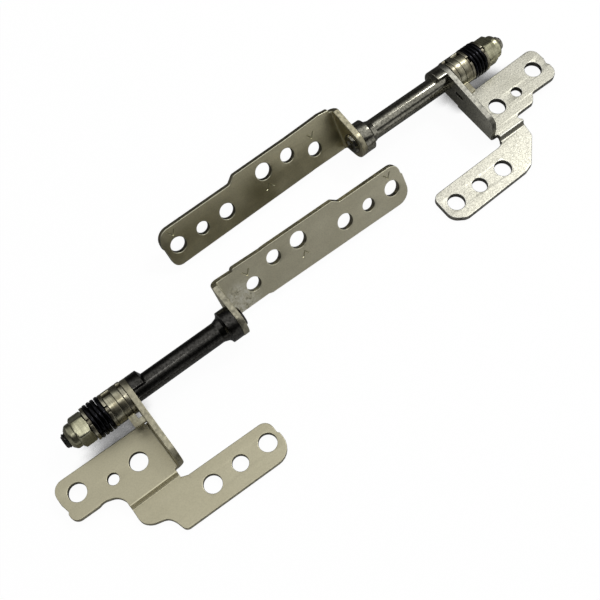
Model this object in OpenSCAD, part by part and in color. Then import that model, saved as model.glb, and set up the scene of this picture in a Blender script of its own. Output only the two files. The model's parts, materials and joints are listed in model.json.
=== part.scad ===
// A pair of laptop hinges, left and right, laid out side by side.
// X runs along the hinge shafts, Y to the rear, Z up. The base plates rest on Z = 0.
// Each hinge is drawn once in its own frame and placed twice, the right one mirrored.
// In a hinge's own frame the shaft is the X axis, the wall's inner face is X = 0,
// and +X runs toward the middle of the laptop.

/* [Layout] */
// distance between the two walls, along the shafts
hinge_span = 86.5; // [80:0.5:100]
// distance between the two shafts, front to rear
hinge_stagger = 16; // [16:0.5:40]
// angle between the display arms and the base plates
open_angle = 125; // [100:1:150]

/* [Sheet metal] */
// thickness of every bracket
sheet_t = 1.2; // [0.8:0.05:1.5]
// inside radius of the bends
bend_in_r = 0.45; // [0.3:0.05:0.8]

/* [Shaft] */
// rod between the wall and the collar
rod_d = 4.2; // [3.8:0.1:5]
// part of the shaft that turns in the wall
neck_d = 3.6; // [3.4:0.05:3.7]
// threaded part outside the wall
thread_d = 3; // [2.6:0.05:3.2]
// distance across the two flats of the threaded part
flats_w = 2.4; // [2:0.05:2.5]
// collar that seats on the display arm's ear
collar_d = 6.5; // [6:0.1:7.5]
// length of the collar
collar_len = 2.3; // [1.5:0.1:3]
// distance from the wall's inner face to the ear
ear_x = 22.3; // [18:0.1:30]
// radius of the stop shoulder beside the wall
lug_r = 3.2; // [2.9:0.05:3.3]
// length of the stop shoulder
lug_len = 2.3; // [1.5:0.1:3]
// how far the stop shoulder is turned forward about the shaft
lug_turn = 40; // [0:1:60]
// tail that is swaged through the ear
tail_d = 4; // [3.4:0.1:4.4]
// distance across the two flats of that tail
tail_flats_w = 3; // [2.6:0.1:3.2]
// how far the swaged head stands out of the ear
head_h = 0.6; // [0.4:0.05:0.9]
// radial clearance where the shaft turns
run_gap = 0.05; // [0.02:0.01:0.08]

/* [Washer stack] */
// outside diameter of the rings
ring_d = 6.7; // [6.2:0.1:7]
// thickness of the friction washer
friction_t = 0.85; // [0.6:0.05:1.2]
// thickness of the fixed cam ring
fixed_t = 1.4; // [1:0.05:1.6]
// thickness of the moving cam ring
moving_t = 1.7; // [1.4:0.05:2]
// thickness of the two pressure plates
plate_t = 0.65; // [0.4:0.05:0.8]
// width of the keying notch in the moving rings
notch_w = 1.2; // [0.8:0.1:1.4]
// depth of that notch
notch_deep = 0.45; // [0.3:0.05:0.6]
// how far the pressure plates' notches are turned about the shaft
plate_notch_turn = 50; // [0:5:90]
// outside diameter of the disc springs
spring_d = 6.9; // [6.4:0.1:7.2]
// thickness of one disc spring
spring_t = 0.65; // [0.4:0.05:0.8]
// how far one disc spring is dished
spring_dish = 0.15; // [0.08:0.01:0.3]
// play between the springs' bore and the threaded part
spring_play = 0.12; // [0.08:0.01:0.2]

/* [Lock nut] */
// distance across the flats
nut_flats_w = 5.5; // [5:0.1:6]
// height of the hexagon
nut_h = 2.75; // [2:0.05:3.2]
// how far the left nut is turned about the shaft
left_nut_turn = -14; // [-30:1:30]
// how far the right nut is turned about the shaft
right_nut_turn = 12; // [-30:1:30]
// diameter of the locking crown
crown_d = 4.9; // [4.4:0.1:5.2]
// height of the locking crown
crown_h = 1.65; // [1.2:0.05:2]
// how far the shaft stands out of the crown
thread_out = 0.9; // [0.4:0.05:1.2]

/* [Base bracket] */
// height of the shaft above the outer plate's top face
plate_drop = 3.7; // [3.6:0.05:4.5]
// step from the outer plate down to the inner plate
joggle = 1.2; // [0.8:0.05:1.4]
// length of the falling part of that step
joggle_run = 0.8; // [0.6:0.1:1.4]
// distance from the shaft forward to the step
step_y = 15.6; // [15:0.1:17]
// distance from the shaft forward to the outer plate's rear edge
outer_rear_y = 3.7; // [3.6:0.1:4.5]
// distance from the wall out to the end of the outer plate
outer_len = 21.7; // [20.8:0.1:24]
// distance from the wall in to the end of the inner plate
inner_len = 17; // [16.4:0.1:19]
// distance from the shaft forward to the inner plate's front edge
inner_front_y = 25.2; // [24:0.1:27]
// distance from the shaft forward to the inner plate's rear edge
inner_rear_y = 17; // [16.8:0.1:18]
// radius of the wall's head round the shaft
wall_head_r = 3.2; // [2.8:0.05:3.4]
// distance from the shaft forward to the wall's front end
wall_front_y = 14.9; // [13.6:0.1:15]
// height of the wall's front corner above the shaft
wall_front_z = 1.55; // [0.8:0.05:2.2]

/* [Screw holes] */
// diameter of the four main base holes
base_hole_d = 3.5; // [3:0.1:3.8]
// diameter of the inner plate's middle hole
middle_hole_d = 3.1; // [2.6:0.1:3.4]
// diameter of the small locating hole
locating_hole_d = 2.2; // [1.8:0.1:2.6]
// distance from the wall to the outer plate's first hole
outer_hole_x = 6.4; // [6:0.1:7]
// distance from the end of the outer plate to its last hole
outer_hole_margin = 3.6; // [3.4:0.1:4.2]
// distance from the shaft forward to the outer plate's first hole
outer_hole_y = 9.8; // [9:0.1:10.5]
// how much further back the outer plate's last hole is
outer_hole_rise = 2.1; // [1:0.1:2.4]
// distance from the wall to the inner plate's first hole
inner_hole_x = 1.8; // [1.4:0.1:2.2]
// pitch of the three inner holes
inner_pitch = 6.1; // [5.6:0.1:6.3]
// distance from the shaft forward to the inner holes
inner_hole_y = 20.95; // [20.4:0.05:21.4]

/* [Display arm] */
// distance from the shaft back to the arm's near face
arm_back = 3.9; // [3.7:0.05:4.5]
// distance from the ear to the tip of the arm
arm_len = 44; // [43:0.1:48]
// how far the arm reaches below the shaft
arm_low = 2.5; // [2.1:0.05:2.8]
// how far the wide part of the arm reaches above the shaft
arm_wide = 7; // [6.8:0.1:8]
// how far the narrow part of the arm reaches above the shaft
arm_narrow = 5.6; // [5.4:0.1:6.2]
// distance from the ear to the left arm's step
left_step_x = 28.4; // [27:0.1:30]
// distance from the ear to the right arm's step
right_step_x = 24.9; // [24:0.1:27]
// radius of the ear's head round the shaft
ear_head_r = 3.3; // [3:0.05:3.6]
// distance from the ear to the first arm hole
arm_hole_x = 7.5; // [7:0.1:8]
// pitch of the arm holes within each group of three
arm_pitch = 5.8; // [5.5:0.1:5.9]
// distance from the tip of the arm to its last hole
arm_tip_margin = 3.2; // [3:0.1:3.6]
// height of the first and the last three holes above the shaft
arm_hole_low = 1.15; // [0.8:0.05:1.4]
// height of the second and third hole above the shaft
arm_hole_high = 3.9; // [3.5:0.05:4.2]
// diameter of the two holes nearest the ear
arm_hole_d = 3; // [2.6:0.1:3.2]
// diameter of the third hole
arm_big_d = 3.5; // [3:0.1:3.6]
// diameter of the fourth and the last hole
arm_far_d = 3.3; // [2.8:0.1:3.4]
// diameter of the fifth hole
arm_small_d = 2.7; // [2.3:0.1:3]

/* [Hidden] */

nickel = [0.72, 0.71, 0.66];
black_steel = [0.12, 0.12, 0.13];
pale_zinc = [0.82, 0.82, 0.68];

tiny = 0.01;
cut_over = 1;
round_steps = 5;
step_parts = 6;
half_turn = 180;

// height of the shaft above the table, from the plates stacked under it
axis_z = plate_drop + sheet_t + joggle;
outer_top = -plate_drop;
inner_top = outer_top - joggle;
bend_out_r = bend_in_r + sheet_t;
arm_tilt = half_turn - open_angle;

// the layout is shifted so that its box is centred on the origin
arm_reach = (arm_wide + 0.37) * cos(arm_tilt) + (arm_back + sheet_t) * sin(arm_tilt);
plate_reach = inner_front_y + 0.18;
middle_y = (plate_reach - arm_reach) / 2;

// where each ring of the stack starts, counted outward from the wall's inner face
friction_x = sheet_t;
fixed_x = friction_x + friction_t;
moving_x = fixed_x + fixed_t;
inner_plate_x = moving_x + moving_t;
spring_step = spring_t + spring_dish;
springs_x = inner_plate_x + plate_t;
outer_plate_x = springs_x + 4 * spring_step;
nut_x = outer_plate_x + plate_t;
crown_x = nut_x + nut_h;
thread_end_x = crown_x + crown_h + thread_out;

// the fixed cam's tongue reaches through the slot in the wall
slot_y = ring_d / 2 + 0.35;
slot_len = 2.2;
slot_h = 0.8;
tongue_gap = 0.05;
tongue_len = 1.25;

rod_start_x = lug_len + 0.6;
flare_len = 1.4;
flare_d = collar_d - 0.7;
collar_x = ear_x - collar_len;
edge_cut = 0.2;

// arm holes as [distance from the ear, height above the shaft, diameter]
last_arm_hole_x = arm_len - arm_tip_margin;
arm_holes = [
    [arm_hole_x, arm_hole_low + 0.4, arm_hole_d],
    [arm_hole_x + arm_pitch, arm_hole_high, arm_hole_d],
    [arm_hole_x + 2 * arm_pitch, arm_hole_high, arm_big_d],
    [last_arm_hole_x - 2 * arm_pitch, arm_hole_low, arm_far_d],
    [last_arm_hole_x - arm_pitch, arm_hole_low, arm_small_d],
    [last_arm_hole_x, arm_hole_low, arm_far_d]];

// base holes as [X, distance forward of the shaft, diameter]
base_holes = [
    [-outer_hole_x, outer_hole_y, base_hole_d],
    [-outer_hole_x - 5.35, outer_hole_y - 0.15, locating_hole_d],
    [-outer_len + outer_hole_margin, outer_hole_y - outer_hole_rise, base_hole_d],
    [inner_hole_x, inner_hole_y, base_hole_d],
    [inner_hole_x + inner_pitch, inner_hole_y, middle_hole_d],
    [inner_hole_x + 2 * inner_pitch, inner_hole_y, base_hole_d]];

// the steps start at these distances out from the wall
left_web_x = 12.1;
right_web_x = 8.4;
relief_x = 2;
step_end_y = step_y + joggle_run;

// outlines as [X, distance forward, corner radius], in order round the plate
left_outer_outline = [
    [-bend_out_r + tiny, outer_rear_y + 0.7, 0],
    [-outer_len + 0.6, outer_rear_y + 0.3, 1.9],
    [-outer_len, 7, 1.5],
    [-outer_len + 0.15, 9.6, 0.8],
    [-outer_len + 0.35, 12.15, 1.9],
    [-16.4, 12.25, 0.8],
    [-15.4, 11.95, 0.8],
    [-12.9, 12.8, 1.4],
    [-left_web_x, 14.4, 1],
    [-left_web_x, step_y, 0],
    [-relief_x, step_y, 0],
    [-relief_x, wall_front_y, 0.3],
    [-bend_out_r + tiny, wall_front_y, 0]];
right_outer_outline = [
    [-bend_out_r + tiny, outer_rear_y + 0.3, 0],
    [-outer_len + 0.05, outer_rear_y - 0.2, 1.9],
    [-outer_len, outer_rear_y + 3.4, 0.8],
    [-outer_len + 0.35, 8.3, 0.7],
    [-outer_len - 0.05, 9.6, 0.8],
    [-outer_len + 1.8, 11.8, 1.4],
    [-14.3, 11.8, 0.9],
    [-12.7, 13.7, 1],
    [-8.6, 13.8, 1],
    [-7.7, 14.4, 0.4],
    [-right_web_x, step_y - joggle_run / 2, 0],
    [-right_web_x, step_y, 0],
    [-relief_x, step_y, 0],
    [-relief_x, wall_front_y, 0.3],
    [-bend_out_r + tiny, wall_front_y, 0]];
left_inner_outline = [
    [-left_web_x, step_end_y, 0],
    [-left_web_x - 0.1, 18.9, 1],
    [-10.9, 20.3, 1.2],
    [-7.9, 21.1, 0.8],
    [-7.2, 22.6, 0.8],
    [-6.6, inner_front_y - 0.4, 0.9],
    [inner_len - 2.8, inner_front_y + 0.2, 2],
    [inner_len - 0.5, inner_front_y - 1.1, 1],
    [inner_len - 0.2, inner_front_y - 4, 2],
    [inner_len - 0.3, inner_rear_y + 0.35, 1.9],
    [-0.7, inner_rear_y - 0.1, 0.4],
    [-relief_x, step_end_y, 0]];
right_inner_outline = [
    [-right_web_x, step_end_y, 0],
    [-8, 18.8, 1],
    [-3.3, 23.8, 1.2],
    [-1.4, inner_front_y - 0.8, 1],
    [inner_len - 2.5, inner_front_y - 0.25, 1.3],
    [inner_len + 0.1, inner_front_y - 2, 1.4],
    [inner_len + 0.1, inner_rear_y + 0.2, 1.6],
    [-0.7, inner_rear_y - 0.2, 0.4],
    [-relief_x, step_end_y, 0]];

// arm outlines as [distance from the ear, height above the shaft, corner radius]
bend_end_x = sheet_t + bend_in_r;
ear_low = arm_low - 0.25;
left_arm_outline = [
    [bend_end_x - tiny, -ear_low, 0],
    [9.2, -ear_low, 0.6],
    [10, -arm_low - 0.05, 0.6],
    [arm_len - 1.7, -arm_low - 0.7, 1.5],
    [arm_len, -arm_low + 1.3, 1.3],
    [arm_len, arm_narrow - 1.6, 1.6],
    [arm_len - 1, arm_narrow - 0.1, 1.2],
    [left_step_x + 1.4, arm_narrow, 0.8],
    [left_step_x, arm_wide - 0.3, 0.8],
    [12.4, arm_wide - 0.12, 0.5],
    [11.6, arm_wide - 0.2, 0.5],
    [5, arm_wide + 0.03, 0.8],
    [bend_end_x - tiny, arm_wide - 0.35, 0]];
right_arm_outline = [
    [bend_end_x - tiny, -ear_low, 0],
    [9.2, -ear_low, 0.6],
    [10, -arm_low + 0.2, 0.6],
    [arm_len - 2.4, -arm_low - 0.5, 1.1],
    [arm_len - 0.4, -arm_low + 1.4, 1],
    [arm_len - 0.3, arm_narrow - 1.3, 1.3],
    [arm_len - 2.4, arm_narrow - 0.2, 1.4],
    [right_step_x + 1.5, arm_narrow, 0.8],
    [right_step_x, arm_wide - 0.15, 0.8],
    [12, arm_wide + 0.05, 1],
    [6.6, arm_wide + 0.25, 1.5],
    [4, arm_wide + 0.37, 1],
    [bend_end_x - tiny, arm_wide + 0.1, 0]];

// unit vector along v
function unit(v) = v / norm(v);

// a point turned by an angle round the origin
function turned(v, angle) =
    [v[0] * cos(angle) - v[1] * sin(angle), v[0] * sin(angle) + v[1] * cos(angle)];

// points of the arc of radius r that rounds the corner at b between a and c
function corner_arc(a, b, c, r) =
    let (
        to_a = unit(a - b),
        to_c = unit(c - b),
        half = acos(to_a * to_c) / 2,
        middle = b + unit(to_a + to_c) * r / sin(half),
        start = b + to_a * r / tan(half) - middle,
        side = start[0] * (b - middle)[1] - start[1] * (b - middle)[0] > 0 ? 1 : -1,
        sweep = side * (half_turn - 2 * half)
    )
    [for (i = [0:round_steps]) middle + turned(start, sweep * i / round_steps)];

// an outline with every corner rounded by the radius in its third number
function rounded(outline) =
    let (last = len(outline) - 1)
    [for (i = [0:last])
        let (
            a = outline[i == 0 ? last : i - 1],
            b = outline[i],
            c = outline[i == last ? 0 : i + 1]
        )
        for (p = b[2] > 0
            ? corner_arc([a[0], a[1]], [b[0], b[1]], [c[0], c[1]], b[2])
            : [[b[0], b[1]]]) p];

// the point where a line from p touches a circle of radius r round the origin
function touch_point(p, r, side) =
    let (away = atan2(p[1], p[0]), spread = acos(r / norm(p)))
    [r * cos(away + side * spread), r * sin(away + side * spread)];

// the step's profile: the top falls steeply and then runs out flat, and the underside,
// which is set back by half the run, starts flat and ends steeply
step_profile = concat(
    [[-step_y + joggle_run / 2 + tiny, outer_top]],
    [for (i = [0:step_parts])
        let (t = i / step_parts)
        [-step_y - joggle_run * t, outer_top - joggle * (1 - pow(1 - t, 2))]],
    [[-step_end_y - tiny, inner_top], [-step_end_y - tiny, inner_top - sheet_t]],
    [for (i = [step_parts:-1:0])
        let (t = i / step_parts)
        [-step_y - joggle_run * (t - 0.5), outer_top - sheet_t - joggle * pow(t, 2)]],
    [[-step_y + joggle_run / 2 + tiny, outer_top - sheet_t]]);

// puts a child drawn in a hinge's frame at the left hinge
module at_left() {
    translate([-hinge_span / 2, middle_y - hinge_stagger / 2, axis_z])
        children();
}

// puts a child drawn in a hinge's frame at the right hinge, mirrored
module at_right() {
    translate([hinge_span / 2, middle_y + hinge_stagger / 2, axis_z])
        mirror([1, 0, 0])
            children();
}

// turns a child with the display arm
module with_arm() {
    rotate([arm_tilt, 0, 0])
        children();
}

// a flat plate with its top face at top, drawn from an outline forward of the shaft
module flat_plate(outline, top) {
    translate([0, 0, top - sheet_t])
        mirror([0, 1, 0])
            linear_extrude(sheet_t)
                polygon(rounded(outline));
}

// a shape drawn in the Y-Z plane, standing from x and reaching thick toward +X
module across(x, thick) {
    translate([x, 0, 0])
        rotate([90, 0, 90])
            linear_extrude(thick)
                children();
}

// a quarter of a bent sheet, inside the bend toward +X and +Y
module quarter_bend() {
    intersection() {
        difference() {
            circle(r = bend_out_r, $fn = 48);
            circle(r = bend_in_r, $fn = 48);
        }
        translate([-bend_out_r, -bend_out_r])
            square(bend_out_r);
    }
}

// a cylinder along X from x and reaching length outward, away from the laptop's middle
module outward(x, length, d) {
    translate([-x, 0, 0])
        rotate([0, -90, 0])
            cylinder(d = d, h = length, $fn = 48);
}

// a ring of the stack with small edge cuts, drawn from its profile
module ring(x, thick, d, bore_d) {
    c = min(0.12, thick / 5);
    translate([-x, 0, 0])
        rotate([0, -90, 0])
            rotate_extrude($fn = 48)
                polygon([
                    [bore_d / 2, 0],
                    [d / 2 - c, 0],
                    [d / 2, c],
                    [d / 2, thick - c],
                    [d / 2 - c, thick],
                    [bore_d / 2, thick]]);
}

// the two-flatted bore that keys a ring to the shaft
module keyed_core(x, length) {
    intersection() {
        outward(x, length, thread_d);
        translate([-x - length, -thread_d, -flats_w / 2])
            cube([length, 2 * thread_d, flats_w]);
    }
}

// a ring that turns with the shaft, notched at two sides; turn moves the notches about the shaft
module keyed_ring(x, thick, d, turn) {
    difference() {
        union() {
            ring(x, thick, d, thread_d);
            difference() {
                outward(x, thick, thread_d + tiny);
                keyed_core(x - cut_over, thick + 2 * cut_over);
            }
        }
        for (side = [-1, 1])
            rotate([turn, 0, 0])
                translate([
                    -x - thick - cut_over,
                    side * (d / 2 - notch_deep + notch_w / 2) - notch_w / 2,
                    -notch_w / 2])
                    cube([thick + 2 * cut_over, notch_w, notch_w]);
    }
}

// stamped base bracket: outer plate, step, inner plate, and the wall that carries the shaft
module base_bracket(outer_outline, inner_outline, web_x) {
    front_top = [-wall_front_y + 1.7, wall_front_z];
    bend_from = outer_rear_y + 1.1;
    rear_low = [-bend_from, outer_top + bend_in_r];
    difference() {
        union() {
            flat_plate(outer_outline, outer_top);
            flat_plate(inner_outline, inner_top);
            // the falling part of the step
            translate([-web_x, 0, 0])
                rotate([90, 0, 90])
                    linear_extrude(web_x - relief_x)
                        polygon(step_profile);
            // the bend between the outer plate and the wall
            translate([-bend_out_r, -bend_from, outer_top + bend_in_r])
                rotate([90, 0, 0])
                    linear_extrude(wall_front_y - bend_from)
                        mirror([1, 0])
                            quarter_bend();
            across(-sheet_t, sheet_t) {
                circle(r = wall_head_r, $fn = 64);
                polygon([
                    touch_point(front_top, wall_head_r, -1),
                    front_top,
                    [-wall_front_y + 0.5, wall_front_z - 0.7],
                    [-wall_front_y, wall_front_z - 2.6],
                    [-wall_front_y, outer_top + bend_in_r],
                    rear_low,
                    touch_point(rear_low, wall_head_r, 1),
                    [0, 0]]);
            }
        }
        // bearing hole for the shaft's neck
        outward(-cut_over, sheet_t + 2 * cut_over, neck_d + 2 * run_gap);
        // slot for the fixed cam's tongue
        translate([-sheet_t - cut_over, -slot_y - slot_len, -slot_h / 2])
            cube([sheet_t + 2 * cut_over, slot_len, slot_h]);
        for (h = base_holes)
            translate([h[0], -h[1], inner_top - sheet_t - cut_over])
                cylinder(d = h[2], h = joggle + sheet_t + 2 * cut_over, $fn = 48);
    }
}

// cam ring that is held still by a tongue in the wall's slot
module fixed_cam() {
    ring(fixed_x, fixed_t, ring_d, thread_d + 2 * run_gap);
    tongue_h = slot_h - 2 * tongue_gap;
    ear_y = slot_y + tongue_gap;
    ear_len = slot_len - 2 * tongue_gap;
    // the ear that stands out of the ring
    translate([-fixed_x - fixed_t, -ear_y - ear_len, -tongue_h / 2])
        cube([fixed_t, ear_len + ear_y - ring_d / 2 + 0.5, tongue_h]);
    // the tongue that runs from the end of the ear into the wall
    translate([-fixed_x - tiny, -ear_y - ear_len, -tongue_h / 2])
        cube([fixed_x - sheet_t / 3 + tiny, tongue_len, tongue_h]);
}

// stamped display arm with its upturned ear
module display_bracket(outline) {
    ear_top = -arm_back + bend_in_r;
    ear_high = arm_wide - 0.4;
    shoulder = [ear_high, ear_top + 0.5];
    ear_front = [-ear_low, ear_top];
    translate([ear_x, 0, 0])
        difference() {
            union() {
                translate([0, 0, -arm_back - sheet_t])
                    linear_extrude(sheet_t)
                        polygon(rounded(outline));
                // the bend between the plate and the ear
                translate([bend_end_x, ear_high, ear_top])
                    rotate([90, 0, 0])
                        linear_extrude(ear_high + ear_low)
                            quarter_bend();
                across(0, sheet_t) {
                    circle(r = ear_head_r, $fn = 64);
                    polygon([
                        [ear_high, ear_top],
                        shoulder,
                        touch_point(shoulder, ear_head_r, 1),
                        [0, 0],
                        touch_point(ear_front, ear_head_r, -1),
                        ear_front]);
                }
            }
            // hole for the shaft's tail, with two flats
            intersection() {
                outward(-sheet_t - cut_over, sheet_t + 2 * cut_over, tail_d);
                translate([-cut_over, -tail_d, -tail_flats_w / 2])
                    cube([sheet_t + 2 * cut_over, 2 * tail_d, tail_flats_w]);
            }
            for (h = arm_holes)
                translate([h[0], h[1], -arm_back - sheet_t - cut_over])
                    cylinder(d = h[2], h = sheet_t + 2 * cut_over, $fn = 48);
        }
}

// turned shaft: swaged head, collar, rod, stop shoulder, neck and threaded tail
module shaft() {
    neck_r = neck_d / 2;
    // rod, flare and collar in one turned profile
    rotate([0, 90, 0])
        rotate_extrude($fn = 64)
            polygon([
                [0, -sheet_t],
                [neck_r, -sheet_t],
                [neck_r, 0],
                [rod_d / 2, 0],
                [rod_d / 2, collar_x - flare_len],
                [flare_d / 2 - 0.2, collar_x - 0.1],
                [collar_d / 2 - edge_cut, collar_x],
                [collar_d / 2, collar_x + edge_cut],
                [collar_d / 2, ear_x - edge_cut],
                [collar_d / 2 - edge_cut, ear_x],
                [0, ear_x]]);
    // stop shoulder over one half of the shaft
    rotate([-lug_turn, 0, 0])
        difference() {
            rotate([0, 90, 0])
                rotate_extrude($fn = 64)
                    polygon([
                        [0, 0],
                        [lug_r, 0],
                        [lug_r, lug_len],
                        [rod_d / 2, rod_start_x],
                        [0, rod_start_x]]);
            translate([-cut_over, -2 * lug_r, -2 * lug_r])
                cube([rod_start_x + 2 * cut_over, 2 * lug_r, 4 * lug_r]);
        }
    // tail through the ear
    intersection() {
        outward(-ear_x - sheet_t - tiny, sheet_t + 2 * tiny, tail_d);
        translate([ear_x - tiny, -tail_d, -tail_flats_w / 2])
            cube([sheet_t + 2 * tiny, 2 * tail_d, tail_flats_w]);
    }
    // swaged head with a dished middle
    translate([ear_x + sheet_t, 0, 0])
        rotate([0, 90, 0])
            rotate_extrude($fn = 48)
                polygon([
                    [0, 0],
                    [tail_d / 2 + 0.15, 0],
                    [tail_d / 2 + 0.1, head_h - 0.15],
                    [tail_d / 2 - 0.15, head_h],
                    [0.9, head_h],
                    [0.5, head_h - 0.25],
                    [0, head_h - 0.25]]);
    // threaded part with two flats and a pointed end
    intersection() {
        translate([-sheet_t, 0, 0])
            rotate([0, -90, 0])
                rotate_extrude($fn = 48)
                    polygon([
                        [0, -tiny],
                        [thread_d / 2, -tiny],
                        [thread_d / 2, thread_end_x - sheet_t - 0.35],
                        [thread_d / 2 - 0.35, thread_end_x - sheet_t],
                        [0, thread_end_x - sheet_t]]);
        translate([-thread_end_x - cut_over, -thread_d, -flats_w / 2])
            cube([thread_end_x + cut_over, 2 * thread_d, flats_w]);
    }
}

// one dished spring; wide_first puts its wide side nearer the wall
module disc_spring(index, wide_first) {
    bore_r = thread_d / 2 + spring_play;
    rim_r = spring_d / 2;
    start = springs_x + index * spring_step;
    rim_low = wide_first ? 0 : spring_dish;
    bore_low = wide_first ? spring_dish : 0;
    c = spring_t / 4;
    translate([-start, 0, 0])
        rotate([0, -90, 0])
            rotate_extrude($fn = 48)
                polygon([
                    [bore_r, bore_low],
                    [rim_r - c, rim_low],
                    [rim_r, rim_low + c],
                    [rim_r, rim_low + spring_t - c],
                    [rim_r - c, rim_low + spring_t],
                    [bore_r, bore_low + spring_t]]);
}

// hexagon nut with cut corners and a rounded locking crown
module lock_nut(turn) {
    corner_d = nut_flats_w / cos(30);
    corner_cut = (corner_d - nut_flats_w) / 2;
    translate([-nut_x, 0, 0])
        rotate([turn, 0, 0])
            rotate([0, -90, 0])
                difference() {
                    union() {
                        intersection() {
                            cylinder(d = corner_d, h = nut_h, $fn = 6);
                            rotate_extrude($fn = 48)
                                polygon([
                                    [0, 0],
                                    [nut_flats_w / 2, 0],
                                    [corner_d / 2 + tiny, corner_cut / 2],
                                    [corner_d / 2 + tiny, nut_h - corner_cut],
                                    [nut_flats_w / 2 - 0.1, nut_h],
                                    [0, nut_h]]);
                        }
                        rotate_extrude($fn = 48)
                            polygon([
                                [0, nut_h - tiny],
                                [crown_d / 2, nut_h - tiny],
                                [crown_d / 2, nut_h + crown_h * 0.55],
                                [crown_d / 2 - 0.2, nut_h + crown_h * 0.82],
                                [crown_d / 2 - 0.6, nut_h + crown_h],
                                [0, nut_h + crown_h]]);
                    }
                    translate([0, 0, -cut_over])
                        cylinder(d = thread_d, h = nut_h + crown_h + 2 * cut_over, $fn = 48);
                }
}

module left_base_bracket() {
    color(nickel) at_left() base_bracket(left_outer_outline, left_inner_outline, left_web_x);
}

module right_base_bracket() {
    color(nickel) at_right() base_bracket(right_outer_outline, right_inner_outline, right_web_x);
}

module left_fixed_cam() {
    color(pale_zinc) at_left() fixed_cam();
}

module right_fixed_cam() {
    color(pale_zinc) at_right() fixed_cam();
}

module left_display_bracket() {
    color(nickel) at_left() with_arm() display_bracket(left_arm_outline);
}

module right_display_bracket() {
    color(nickel) at_right() with_arm() display_bracket(right_arm_outline);
}

module left_shaft() {
    color(black_steel) at_left() with_arm() shaft();
}

module right_shaft() {
    color(black_steel) at_right() with_arm() shaft();
}

module left_friction_washer() {
    color(pale_zinc) at_left() with_arm() keyed_ring(friction_x, friction_t, ring_d, 0);
}

module right_friction_washer() {
    color(pale_zinc) at_right() with_arm() keyed_ring(friction_x, friction_t, ring_d, 0);
}

module left_moving_cam() {
    color(pale_zinc) at_left() with_arm() keyed_ring(moving_x, moving_t, ring_d, 0);
}

module right_moving_cam() {
    color(pale_zinc) at_right() with_arm() keyed_ring(moving_x, moving_t, ring_d, 0);
}

module left_inner_plate() {
    color(nickel) at_left() with_arm()
        keyed_ring(inner_plate_x, plate_t, ring_d, plate_notch_turn);
}

module right_inner_plate() {
    color(nickel) at_right() with_arm()
        keyed_ring(inner_plate_x, plate_t, ring_d, plate_notch_turn);
}

module left_spring_1() {
    color(black_steel) at_left() with_arm() disc_spring(0, true);
}

module right_spring_1() {
    color(black_steel) at_right() with_arm() disc_spring(0, true);
}

module left_spring_2() {
    color(black_steel) at_left() with_arm() disc_spring(1, false);
}

module right_spring_2() {
    color(black_steel) at_right() with_arm() disc_spring(1, false);
}

module left_spring_3() {
    color(black_steel) at_left() with_arm() disc_spring(2, true);
}

module right_spring_3() {
    color(black_steel) at_right() with_arm() disc_spring(2, true);
}

module left_spring_4() {
    color(black_steel) at_left() with_arm() disc_spring(3, false);
}

module right_spring_4() {
    color(black_steel) at_right() with_arm() disc_spring(3, false);
}

module left_outer_plate() {
    color(nickel) at_left() with_arm()
        keyed_ring(outer_plate_x, plate_t, ring_d, plate_notch_turn);
}

module right_outer_plate() {
    color(nickel) at_right() with_arm()
        keyed_ring(outer_plate_x, plate_t, ring_d, plate_notch_turn);
}

module left_lock_nut() {
    color(pale_zinc) at_left() with_arm() lock_nut(left_nut_turn);
}

module right_lock_nut() {
    color(pale_zinc) at_right() with_arm() lock_nut(right_nut_turn);
}

left_base_bracket();
left_fixed_cam();
left_display_bracket();
left_shaft();
left_friction_washer();
left_moving_cam();
left_inner_plate();
left_spring_1();
left_spring_2();
left_spring_3();
left_spring_4();
left_outer_plate();
left_lock_nut();
right_base_bracket();
right_fixed_cam();
right_display_bracket();
right_shaft();
right_friction_washer();
right_moving_cam();
right_inner_plate();
right_spring_1();
right_spring_2();
right_spring_3();
right_spring_4();
right_outer_plate();
right_lock_nut();
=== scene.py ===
# %% [markdown]
# A pair of laptop hinges, dressed for the picture.
#
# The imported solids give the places: where each shaft runs, how far the arms are turned, and
# which pieces move together. Every visible piece is drawn again here as a fine surface, because
# what makes stamped and turned steel look real is small: rolled-over edges, threads, notches,
# stamp marks. Lengths below are in millimetres, and the last step of each mesh turns them into
# metres.

# %% Load the frame and keep its box
import json
import math

import bmesh
import bpy
import numpy as np
from mathutils import Matrix, Vector
from mathutils.geometry import tessellate_polygon


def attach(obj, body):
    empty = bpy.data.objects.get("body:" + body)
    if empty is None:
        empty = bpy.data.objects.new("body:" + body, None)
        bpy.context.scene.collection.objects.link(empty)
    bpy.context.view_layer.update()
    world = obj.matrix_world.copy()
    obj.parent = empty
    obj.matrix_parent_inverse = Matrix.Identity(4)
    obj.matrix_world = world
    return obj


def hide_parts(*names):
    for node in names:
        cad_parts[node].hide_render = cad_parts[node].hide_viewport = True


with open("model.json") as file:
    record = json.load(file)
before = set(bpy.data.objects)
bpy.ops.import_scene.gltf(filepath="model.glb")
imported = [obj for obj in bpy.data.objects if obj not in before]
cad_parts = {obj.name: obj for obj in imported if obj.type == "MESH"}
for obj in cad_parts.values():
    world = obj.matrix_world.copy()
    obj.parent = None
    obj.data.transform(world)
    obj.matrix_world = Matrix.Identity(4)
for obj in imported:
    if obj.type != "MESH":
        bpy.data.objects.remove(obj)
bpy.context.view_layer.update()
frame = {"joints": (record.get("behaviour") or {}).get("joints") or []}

MM = 0.001
shaft_points = {j["child"]: np.array(j["pos_m"]) / MM for j in frame["joints"]}
print("shafts at", shaft_points)

# %% [markdown]
# Shared sizes. Each is a size that could be measured on the real hinge with a caliper, and it is
# the same as the solids' size. Sizes that one piece alone needs stand in that piece's own cell.

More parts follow.
